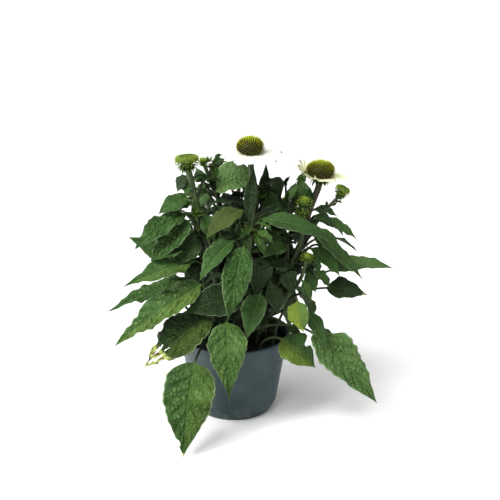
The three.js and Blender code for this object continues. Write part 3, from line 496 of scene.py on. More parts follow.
@dataclass(frozen=True)
class RayFinish:
    """A white ray: warm white with faint grey lengthwise lines, partly its veins and partly painted shade in its folds,
    greener at its foot, and green-brown where it is curled or where its tip has painted shade.
    """

    name: str = "ray_skin"
    white: Colour = (0.8, 0.79, 0.73)
    line: Colour = (0.52, 0.53, 0.45)
    green: Colour = (0.5, 0.56, 0.22)
    cream: Colour = (0.78, 0.79, 0.43)
    # brown: of a young ray's curled tip, and the painted shade on every fourth ray's tip
    brown: Colour = (0.1, 0.095, 0.06)
    gloss: float = 0.3
    relief: float = 0.0003  # in metres

    def material(self) -> Material:
        """Builds the material."""
        s = Shader(self.name)
        across, along, _ = s.marks("blade")
        _, creamy, darkened_tip = s.marks("look")
        # Grey lines along the ray: partly its veins, partly painted shade in its folds.
        lines = s.math("ABSOLUTE", s.less(s.math("FRACT", s.times(across, 4.5)), 0.5))
        colour = s.mix(s.ease(lines, 0.3, 0.5, 0.0, 0.55), self.white, self.line)
        colour = s.mix(s.ease(along, 0.45, 0.12, 0.0, 0.6), colour, self.green)
        colour = s.mix(creamy, colour, self.cream)
        # Tips go dark brown where a young ray curls, and where every fourth ray's tip has painted shade.
        colour = s.mix(s.times(darkened_tip, s.ease(s.noise(0.002), 0.3, 0.6)), colour, self.brown)
        s.set(Base_Color=colour, Roughness=s.ease(s.noise(0.004), 0.0, 1.0, 0.45, 0.65), Specular_IOR_Level=self.gloss)
        s.set(Subsurface_Weight=0.15, Subsurface_Scale=0.002)
        s.bump(s.plus(lines, s.noise(0.001)), 0.35, self.relief)
        return s.material


@dataclass(frozen=True)
class PotFinish:
    """Moulded blue-grey plastic with a satin surface, faint turning lines, scuffs and dust."""

    name: str = "pot_plastic"
    plastic: Colour = (0.009, 0.027, 0.031)
    worn: Colour = (0.02, 0.043, 0.048)
    dust: Colour = (0.12, 0.125, 0.11)
    rings: float = 2600.0  # turning lines, in radians a metre
    gloss: float = 0.34
    relief: float = 0.0002  # in metres

    def material(self) -> Material:
        """Builds the material."""
        s = Shader(self.name)
        x, y, z = s.node("ShaderNodeSeparateXYZ").outputs
        s.feed(x.node.inputs[0], s.place())
        clouds = s.noise(0.03, 4.0)
        scuffs = s.noise(0.004, 5.0)
        colour = s.mix(s.ease(clouds, 0.35, 0.75), self.plastic, self.worn)
        colour = s.mix(s.ease(scuffs, 0.62, 0.8, 0.0, 0.35), colour, self.worn)
        low = s.times(s.ease(z, 0.03, 0.0, 0.0, 0.5), s.ease(s.noise(0.009, 4.0), 0.45, 0.7))
        colour = s.mix(low, colour, self.dust)
        s.set(Base_Color=colour, Specular_IOR_Level=self.gloss)
        s.set(Roughness=s.scaled(scuffs, 0.22, 0.36))
        rings = s.math("SINE", s.times(z, self.rings))
        s.bump(s.scaled(rings, 0.12, s.noise(0.0012, 3.0)), 0.25, self.relief)
        return s.material


@dataclass(frozen=True)
class SoilFinish:
    """Dark potting soil, painted nearly black: its own dark colour with the shade of the plant painted in, and brown
    fibres and a few pale grains.
    """

    name: str = "potting_soil"
    # Both soil colours are far darker than the soil itself: they carry painted shade from the leaves above.
    shaded_dark_soil: Colour = (0.0015, 0.0012, 0.001)
    dry: Colour = (0.007, 0.005, 0.0035)
    fibre: Colour = (0.035, 0.02, 0.01)
    gloss: float = 0.25
    relief: float = 0.0008  # in metres

    def material(self) -> Material:
        """Builds the material."""
        s = Shader(self.name)
        tone, _, _ = s.marks("look")
        clouds = s.noise(0.008, 4.0)
        colour = s.mix(s.ease(clouds, 0.35, 0.7), self.shaded_dark_soil, self.dry)
        colour = s.mix(s.times(tone, s.ease(s.noise(0.002), 0.3, 0.7)), colour, self.fibre)
        s.set(Base_Color=colour, Roughness=s.ease(clouds, 0.3, 0.8, 0.75, 0.98), Specular_IOR_Level=self.gloss)
        s.bump(s.noise(0.0012, 4.0), 0.8, self.relief)
        return s.material


@dataclass(frozen=True)
class FloorFinish:
    """A plain pale floor."""

    name: str = "pale_floor"
    pale: Colour = (0.9, 0.9, 0.895)
    gloss: float = 0.1
    roughness: float = 0.9

    def material(self) -> Material:
        """Builds the material."""
        s = Shader(self.name)
        s.set(Base_Color=self.pale, Roughness=self.roughness, Specular_IOR_Level=self.gloss)
        return s.material


# ---------------------------------------------------------------- meshes in the making


class Skin:
    """A mesh in the making, whose vertices carry the marks that the finishes read."""

    SCALE_ROWS = 6
    SCALE_AROUND = 6
    SCALE_THICK = 0.5
    LEAST_BEND = 1e-3  # radians, below which a scale counts as straight
    SIDES = 5  # of a spine or a floret
    RIPPLES = 14  # ribs round a body

    def __init__(self) -> None:
        """Starts an empty mesh."""
        self.mesh = bmesh.new()
        for name in MARKS:
            self.mesh.verts.layers.float_vector.new(name)
        self.layers = [self.mesh.verts.layers.float_vector[name] for name in MARKS]

    def mark(self, vert: Vert, *marks: Triple) -> None:
        """Writes a vertex's marks."""
        for layer, value in zip(self.layers, marks):
            vert[layer] = value

    def wrap(self, rows: int, around: int, place: Callable[[int, int], Mark]) -> list[Vert]:
        """Wraps a grid into a closed tube, flat or round as its places say.

        Args:
            rows: How many rows of points the tube has along its length.
            around: How many points each row has.
            place: Gives the place and the marks of a point from its number round the row and the row's number.

        Returns:
            The tube's vertices.
        """
        made = bmesh.ops.create_grid(self.mesh, x_segments=around, y_segments=rows - 1, size=1.0)["verts"]
        for vert in made:
            k = round((vert.co.x + 1) / 2 * around)
            row = round((vert.co.y + 1) / 2 * (rows - 1))
            vert.co, *marks = place(k % around, row)
            self.mark(vert, *marks)
        bmesh.ops.remove_doubles(self.mesh, verts=made, dist=WELD)
        kept = [vert for vert in made if vert.is_valid]
        rim = list({edge for vert in kept for edge in vert.link_edges if edge.is_boundary})
        if rim:
            bmesh.ops.holes_fill(self.mesh, edges=rim, sides=0)
        return kept

    def turned(self, frame: Matrix, rings: Sequence[Triple], around: int, ripple: float = 0.0) -> None:
        """Adds a closed body of rings.

        Args:
            frame: The transform whose z axis the rings stand round.
            rings: The height and radius of each ring, and how bright it is.
            around: How many points each ring has.
            ripple: How far its ribs stand out, as a share of the radius.
        """

        def point(k: int, row: int) -> Mark:
            """Returns one point of the body."""
            height, radius, level = rings[row]
            turn = FULL_TURN * k / around
            radius *= 1 + ripple * math.cos(turn * self.RIPPLES)
            return frame @ polar(turn, radius, height), (0, level, 0), PLAIN, PLAIN

        self.wrap(len(rings), around, point)

    def scale(self, place: Matrix, length: float, width: float, bend: float, look: Triple) -> None:
        """Adds a pointed scale, such as a bract.

        Args:
            place: Where it starts. It runs along the transform's x axis.
            length: Its length.
            width: Its greatest width.
            bend: How far its tip turns towards the transform's z axis, in radians.
            look: Its tone, how yellow it is and how dry.
        """
        turn = bend if abs(bend) > self.LEAST_BEND else self.LEAST_BEND

        def point(k: int, row: int) -> Mark:
            """Returns one point of the scale."""
            s = row / (self.SCALE_ROWS - 1)
            angle = turn * s
            wide = width / 2 * (1 - s**1.6) * (0.75 + 0.5 * math.sin(math.pi * min(s * 1.4, 1))) + 0.05
            spin = FULL_TURN * k / self.SCALE_AROUND
            out = math.sin(spin) * self.SCALE_THICK / 2 * (1 - 0.7 * s) + 0.12 * width * math.cos(spin) ** 2
            x = length * math.sin(angle) / turn - math.sin(angle) * out
            z = length * (1 - math.cos(angle)) / turn + math.cos(angle) * out
            return place @ Vector((x, math.cos(spin) * wide, z)), (0, s, 0), PLAIN, look

        self.wrap(self.SCALE_ROWS, self.SCALE_AROUND, point)

    def spine(self, height: float, radius: float, taper: float) -> list[Vert]:
        """Returns a new small spine round the z axis, with its middle at the origin."""
        return bmesh.ops.create_cone(
            self.mesh, cap_ends=True, segments=self.SIDES, radius1=radius, radius2=radius * taper, depth=height
        )["verts"]

    def piece(self, name: str, nodes: Sequence[str], finish: Material) -> bpy.types.Object:
        """Finishes the mesh as a smooth piece of the plant.

        Args:
            name: The piece's name.
            nodes: The solids that it stands for.
            finish: Its material.

        Returns:
            The piece.
        """
        bmesh.ops.recalc_face_normals(self.mesh, faces=self.mesh.faces)
        for face in self.mesh.faces:
            face.smooth = True
        bmesh.ops.scale(self.mesh, vec=(MM, MM, MM), verts=self.mesh.verts)
        data = meshed(name, self.mesh)
        data.materials.append(finish)
        made = placed(name, data)
        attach(made, "root")
        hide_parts(*nodes)
        LOG.info("%s: %d vertices, %d faces", name, len(data.vertices), len(data.polygons))
        return made


# ---------------------------------------------------------------- leaves


class Outline(Enum):
    """Outlines of a blade: the powers by which its width rises from the base and falls to the tip."""

    BROAD = (0.5, 1.25)
    OVATE = (0.65, 1.25)
    LANCE = (0.8, 1.35)
    LONG = (0.75, 1.8)
    TAPERED = (0.6, 1.75)
    WEDGE = (0.55, 1.3)
    ROUND = (0.7, 0.9)

    def width(self, share: float) -> float:
        """Returns the width at a share of the length, as a share of the greatest width."""
        rise, fall = self.value
        peak = rise / (rise + fall)
        return (max(share, 0.0) / peak) ** rise * (max(1 - share, 0.0) / (1 - peak)) ** fall


@dataclass(frozen=True)
class Notch:
    """A bite out of a blade's edge: on which side, where along it, how long and how deep, in shares."""

    side: int
    where: float
    length: float
    depth: float


@dataclass(frozen=True)
class Hole:
    """A hole in a blade: its place across and along, in shares, and its half sizes in millimetres."""

    across: float
    along: float
    wide: float
    high: float


@dataclass(frozen=True)
class Leaf:
    """A leaf: where its stalk starts, where its blade lies, its form and its look."""

    start: float  # height on the stem, for a stem leaf
    base: Triple
    tip: Triple
    face: Triple  # where its upper side looks
    width: float
    arch: float = 0.0  # how far the midrib bows to the upper side
    sway: float = 0.0  # and how far sideways
    fold: float = 14.0  # degrees by which the halves are lifted
    wave: float = 1.4  # height of the edge's waves
    shape: Outline = Outline.LANCE
    root: Pair | None = None  # where a basal leaf's stalk stands in the soil
    rise: float | None = None
    large: bool = False
    hidden: bool = False  # deep in the plant, so made of coarser cells
    # tone: how light or dark the leaf is painted, partly its own green, partly painted shade on leaves deep in the
    # plant and painted light on leaves that face the sky
    tone: float = 0.0
    yellow: float = 0.0
    sunny: int = 0  # the side that is yellowed, or 0 for both
    dry: float = 0.0  # share of the blade that is dry, from its tip
    blister: float = 0.95
    veins: float = 7.0
    notches: tuple[Notch, ...] = ()
    holes: tuple[Hole, ...] = ()


class LeafBuilder:
    """Builds leaves into a skin."""

    CELL = 1.75  # size of a blade's cells
    FINE_CELL = 1.35  # of a large blade's
    HIDDEN_CELL = 2.5  # and of those deep in the plant
    FEWEST_STEPS = 16  # cells along a blade, and across half of its round
    FEWEST_ACROSS = 8
    STALK = 1.6  # radius of a stalk
    STALK_ENDS = (1.1, 0.85)  # its shares of that at foot and blade
    STALK_STEP = 6
    BEND = 0.42  # how stiffly a stalk leaves its stem, and how it arrives
    ARRIVAL = 0.65
    LEAN = 0.6
    HALF_THICK = 0.3
    MIDRIB = 0.7  # how far the midrib stands out below, its groove above, and its half width
    MIDRIB_GROOVE = 0.35
    MIDRIB_WIDTH = 1.2
    VEIN_RISE = 0.26  # how far the side veins climb to the edge, as a share of the length
    TWIST = 1.1  # radians by which a blade may turn from end to end
    DISH = 1.25  # power by which the halves lift to the edge
    WAVES = 2.5  # how many waves the edge has
    RUFFLE = 0.35  # height of the margin's even ruffles, as a share of its waves
    RUFFLES = 6.5  # how many there are
    RAGGED_WAVE = 1.5  # height of its uneven waves, as a share of the even ones
    WARP = 0.16  # uneven bending of the whole blade, as a share of its half width
    EDGE_FALL = 0.05  # how far the very edge turns down, likewise
    NET = 4.2  # size of the puffs between the veins
    CRINKLE = 2.2  # height of the margin's small crinkles, as a share of the blistering
    CRINKLE_SIZE = 7.5
    FULL_BLISTER = 2.6  # height of puffs whose painted light and painted shade show in full in the skin's colour
    RAGGED = 0.09  # unevenness of the width
    TOOTH = 0.02  # height of the teeth, as a share of the width
    TEETH = 11

    def __init__(self, skin: Skin) -> None:
        """Takes the skin that the leaves go into."""
        self.skin = skin

    def on_stem(self, leaf: Leaf, line: Line) -> None:
        """Grows a leaf on a stem."""
        start = line.at_height(leaf.start)
        out = (Vector(leaf.base) - start) * Vector((1, 1, 0))
        self.grow(leaf, start, (out.normalized() + UP * self.LEAN).normalized(), [])

    def basal(self, leaf: Leaf) -> None:
        """Grows a leaf out of the soil."""
        start = Vector((*leaf.root, SOIL_TOP + 1))
        reach = (start - Vector(leaf.base)).length * self.BEND
        lead = UP * ((reach if leaf.rise is None else leaf.rise) / reach)
        self.grow(leaf, start, lead, [Vector((*leaf.root, SOIL_TOP - BURY))])

    def grow(self, leaf: Leaf, start: Vector, lead: Vector, buried: list[Vector]) -> None:
        """Grows a leaf, stalk and blade, as one closed skin.

        Args:
            leaf: The leaf.
            start: Where its stalk leaves the stem or the soil.
            lead: The direction in which it leaves.
            buried: Points of the stalk that lie in the soil.
        """
        base, tip = Vector(leaf.base), Vector(leaf.tip)
        length = (tip - base).length
        along = (tip - base) / length
        face = Vector(leaf.face)
        face = (face - face.project(along)).normalized()
        middle = (base + tip) / 2 + face * (2 * leaf.arch) + along.cross(face) * (2 * leaf.sway)
        heading = (middle - base).normalized()
        cell = self.FINE_CELL if leaf.large else self.HIDDEN_CELL if leaf.hidden else self.CELL
        steps = max(self.FEWEST_STEPS, 2 * round(length / cell / 2))
        reach = (start - base).length * self.BEND
        legs = (start, start + lead * reach, base - heading * reach * self.ARRIVAL, base)
        rungs = max(5, round((start - base).length / self.STALK_STEP))
        stalk = buried + [self.bezier(legs, i / rungs) for i in range(rungs)]
        blade = [self.bezier((base, middle, tip), i / steps) for i in range(steps + 1)]
        frames = frames_along([*stalk, *blade], face, len(stalk) + steps // 2)
        across = max(self.FEWEST_ACROSS, 2 * round(leaf.width / cell / 2))
        seed = Vector(leaf.base) * 0.173 + Vector(leaf.tip) * 0.071
        tone = leaf.tone + 0.3 * noise.noise(seed * 3.1)
        twist = self.TWIST * noise.noise(seed * 1.7)
        first = len(stalk)

        def point(k: int, row: int) -> Mark:
            """Returns one point of the leaf."""
            frame = frames[row]
            upper = k <= across
            j = k if upper else 2 * across - k
            sign = 1.0 if upper else -1.0
            rounded = -math.cos(math.pi * j / across)
            s = (row - first) / steps
            if s < 0:
                radius = self.STALK * lerp(*self.STALK_ENDS, row / first)
                spot = frame.at + frame.side * (rounded * radius * 0.96)
                spot = spot + frame.normal * (sign * radius * math.sqrt(max(1 - rounded * rounded, 0)))
                return spot, (rounded, min(s, -0.05), sign), (0, 5, 0), (tone, leaf.yellow * 0.5, 0)
            flatness = smooth(0.0, 0.14, s)
            a = lerp(rounded, 2 * j / across - 1, flatness)
            half = self.half_width(leaf, s, a, seed)
            x, y = a * half, s * length
            relief = self.relief(leaf, a, s, x, y, seed)
            lift = self.lift(leaf, a, s, half, y, relief, flatness, seed)
            thin = self.HALF_THICK * math.sqrt(max(1 - a**4, 0))
            thick = lerp(self.STALK * self.STALK_ENDS[1] * math.sqrt(max(1 - a * a, 0)), thin, flatness)
            rib = math.exp(-((x / self.MIDRIB_WIDTH) ** 2)) * (1 - s) * flatness
            lift += sign * thick - rib * (self.MIDRIB_GROOVE if upper else self.MIDRIB)
            spot = Vector((x * math.cos(math.radians(leaf.fold)), lift))
            spot.rotate(Matrix.Rotation(twist * (s - 0.3) * flatness, 2))
            spot = frame.at + frame.side * spot.x + frame.normal * spot.y
            dry = smooth(1 - 1.6 * leaf.dry, 1.02 - 0.4 * leaf.dry, s) if leaf.dry else 0.0
            yellow = leaf.yellow * (smooth(-0.35, 0.45, a * leaf.sunny) if leaf.sunny else 1.0)
            puffs = relief * min(leaf.blister / self.FULL_BLISTER, 1.2)
            return spot, (a, s, sign), (self.phase(leaf, a, s), x, puffs), (tone, yellow, dry)

        made = self.skin.wrap(len(frames), 2 * across, point)
        for hole in leaf.holes:
            self.punch(made, hole, leaf, length, seed)

    @staticmethod
    def bezier(legs: Sequence[Vector], share: float) -> Vector:
        """Returns the point at a share of a Bezier curve of any degree."""
        while len(legs) > 1:
            legs = [a.lerp(b, share) for a, b in zip(legs, legs[1:])]
        return legs[0]

    def lift(
        self, leaf: Leaf, a: float, s: float, half: float, y: float, relief: float, flatness: float, seed: Vector
    ) -> float:
        """Returns how far a blade stands over the line of its midrib at a place.

        Args:
            leaf: The leaf.
            a: The place across the blade, from -1 to 1.
            s: The place along it, from 0 to 1.
            half: The half width there.
            y: The distance from the base.
            relief: How far the blade puffs up, from 0 to 1.
            flatness: How far the blade is flat there, and no longer a round stalk.
            seed: Where the leaf's noise starts.

        Returns:
            The height, without the blade's thickness.
        """
        x, out = a * half, leaf.shape.width(s)
        ruffles = self.RUFFLES * s + 0.3 * math.copysign(1, a)
        height = abs(a) ** self.DISH * half * math.sin(math.radians(leaf.fold))
        height += leaf.wave * out * a * abs(a) * math.sin(FULL_TURN * self.WAVES * s)
        height += leaf.wave * self.RUFFLE * out * a**4 * math.sin(FULL_TURN * ruffles)
        ragged = noise.noise(Vector((x * 0.06, y * 0.075, 0)) + seed)
        height += leaf.wave * self.RAGGED_WAVE * out * a * a * ragged
        height += self.WARP * half * noise.noise(Vector((x * 0.03, y * 0.035, 5)) + seed) * flatness
        height -= self.EDGE_FALL * half * a**6 * flatness
        height += leaf.blister * relief
        crinkle = noise.noise(Vector((y / self.CRINKLE_SIZE, math.copysign(3, a), 2)) + seed)
        return height + self.CRINKLE * leaf.blister * abs(a) ** 3 * min(1, 1.5 * out) * crinkle * flatness

    def phase(self, leaf: Leaf, a: float, s: float) -> float:
        """Returns how many side veins lie below a place of a blade."""
        return leaf.veins * (s - self.VEIN_RISE * abs(a) ** 1.15) + 0.35 * a

    def half_width(self, leaf: Leaf, s: float, a: float, seed: Vector) -> float:
        """Returns the half width of a blade at a share of its length, with teeth, notches and an uneven edge."""
        side = 1.0 if a > 0 else -1.0
        ragged = self.RAGGED * noise.noise(Vector((s * 8, side * 3, 0)) + seed)
        tooth = self.TOOTH * math.sin(FULL_TURN * (self.TEETH * s + 0.3 * side))
        edge = 1 + (ragged + tooth) * abs(a)
        for notch in leaf.notches:
            if notch.side == side:
                bite = max(1 - ((s - notch.where) / notch.length) ** 2, 0)
                edge -= notch.depth * bite**0.5 * abs(a)
        floor = lerp(self.STALK * self.STALK_ENDS[1], 0.3, smooth(0.0, 0.35, s))
        return max(leaf.width / 2 * leaf.shape.width(s) * edge, floor)

    def relief(self, leaf: Leaf, a: float, s: float, x: float, y: float, seed: Vector) -> float:
        """Returns how far the blade puffs up at a place between its veins, from 0 to 1."""
        groove = (0.5 + 0.5 * math.cos(FULL_TURN * self.phase(leaf, a, s))) ** 4
        near = noise.voronoi(Vector((x / self.NET, y / (self.NET * 1.3), 0)) + seed)[0]
        puff = smooth(0.02, 0.45, near[1] - near[0])
        fade = (1 - abs(a) ** 5) * min(1, s * 8) * min(1, (1 - s) * 5) * smooth(0.4, 2.5, abs(x))
        return (1 - groove) * (0.3 + 0.7 * puff) * fade

    def punch(self, verts: list[Vert], hole: Hole, leaf: Leaf, length: float, seed: Vector) -> None:
        """Cuts a ragged hole through a blade and closes its edge.

        Args:
            verts: The leaf's vertices.
            hole: The hole.
            leaf: The leaf.
            length: The blade's length.
            seed: Where the leaf's noise starts.
        """
        blade = self.skin.layers[0]
        cut = []
        for face in {face for vert in verts if vert.is_valid for face in vert.link_faces}:
            marks = [vert[blade] for vert in face.verts]
            a, s = (sum(mark[i] for mark in marks) / len(marks) for i in (0, 1))
            half = leaf.width / 2 * leaf.shape.width(s)
            x, y = (a - hole.across) * half / hole.wide, (s - hole.along) * length / hole.high
            if x * x + y * y < 1 + 0.5 * noise.noise(Vector((x, y, 0)) * 1.3 + seed) and abs(a) < 0.97:
                cut.append(face)
        if not cut:
            return
        bmesh.ops.delete(self.skin.mesh, geom=cut, context="FACES")
        rim = [e for vert in verts if vert.is_valid for e in vert.link_edges if e.is_boundary]
        rim = list(dict.fromkeys(rim))
        if rim:
            bmesh.ops.bridge_loops(self.skin.mesh, edges=rim)


# ---------------------------------------------------------------- where everything grows


@dataclass(frozen=True)
class Stem:
    """A stem: where it stands in the soil, the points it grows through, and its radius at foot and top."""

    root: Pair
    path: tuple[Triple, ...]
    radius: Pair
    flush: float = 0.0  # how far its upper part is flushed with brown


@dataclass(frozen=True)
class Branch:
    """A branch: the height at which it leaves its stem, the points it grows through, and its two radii."""

    start: float
    path: tuple[Triple, ...]
    radius: Pair
    flush: float = 0.0


@dataclass(frozen=True)
class SmallRays:
    """Rays that aren't full-grown: from and to what degree, reach, share of width, and how far they stand up."""

    start: float
    end: float
    reach: float
    width: float
    rise: float = 0.0


@dataclass(frozen=True)
class Head:
    """A flower head: its stem, the middle of its underside, the way that it leans, and its size."""

    stem: str
    at: Triple
    lean: Triple
    radius: float
    height: float
    petals: int = 0
    reach: float = 0.0
    droop: float = 0.0
    young: SmallRays | None = None  # narrow and upright
    short: SmallRays | None = None  # hardly grown


@dataclass(frozen=True)
class Spoke:
    """A basal leaf behind the plant: its angle from +X, its reach, the height of its tip and its width."""

    angle: float
    reach: float
    tip_height: float
    width: float


STEMS: dict[str, Stem] = {
    "stem_left": Stem(
        (-16, -14),
        ((-17, -15, 128), (-22, -19, 178), (-30, -24, 226), (-40, -28, 260), (-47, -31, 292), (-51.5, -32, 314)),
        (4.2, 3.7),
    ),
    "stem_fork": Stem(
        (-24, 12), ((-22, 11, 138), (-16, 8, 198), (-15, 6, 239), (-20, 8, 274), (-30, 7, 298), (-35, 6, 311)),
        (3.4, 2.3),
    ),
    "stem_centre": Stem(
        (6, -20),
        (
            (8, -24, 128), (13, -35, 183), (19, -43, 226), (22, -45, 260), (23, -39, 296), (20.5, -31, 323),
            (20.5, -32.6, 330),
        ),
        (4, 3.4),
    ),
    "stem_shaded": Stem((8, 14), ((12, 13, 138), (20, 10, 198), (27, 9, 248), (30, 10, 272)), (3.2, 2.2)),
    "stem_right": Stem(
        (36, 2), ((42, 2, 128), (62, 2, 176), (81, 3, 211), (91, 6, 252), (103, 9.5, 284), (104, 10, 291.5)),
        (4.2, 3.8), 0.8,
    ),
    "stem_buds": Stem((20, 22), ((26, 22, 128), (48, 22, 183), (61, 20, 220), (62, 15, 259)), (3.2, 2.2)),
    "stem_buds_front": Stem(
        (24, -6), ((30, -10, 128), (58, -20, 178), (76, -23, 210), (83, -18, 242), (84, -16, 265)), (3.4, 2.4),
    ),
    "stem_low": Stem(
        (30, -26), ((37, -28, 122), (62, -33, 154), (80, -34, 180), (86, -38, 201), (87, -40, 207)), (3, 2.1),
    ),
    "stem_rear_left": Stem((-20, 34), ((-26, 38, 138), (-44, 46, 194), (-52, 50, 256)), (3.4, 2.4)),
    "stem_rear": Stem((4, 40), ((4, 46, 148), (4, 54, 206), (6, 54, 274)), (3.4, 2.4)),
    "stem_rear_right": Stem((34, 30), ((42, 36, 138), (64, 46, 186), (80, 52, 238)), (3.4, 2.4)),
}

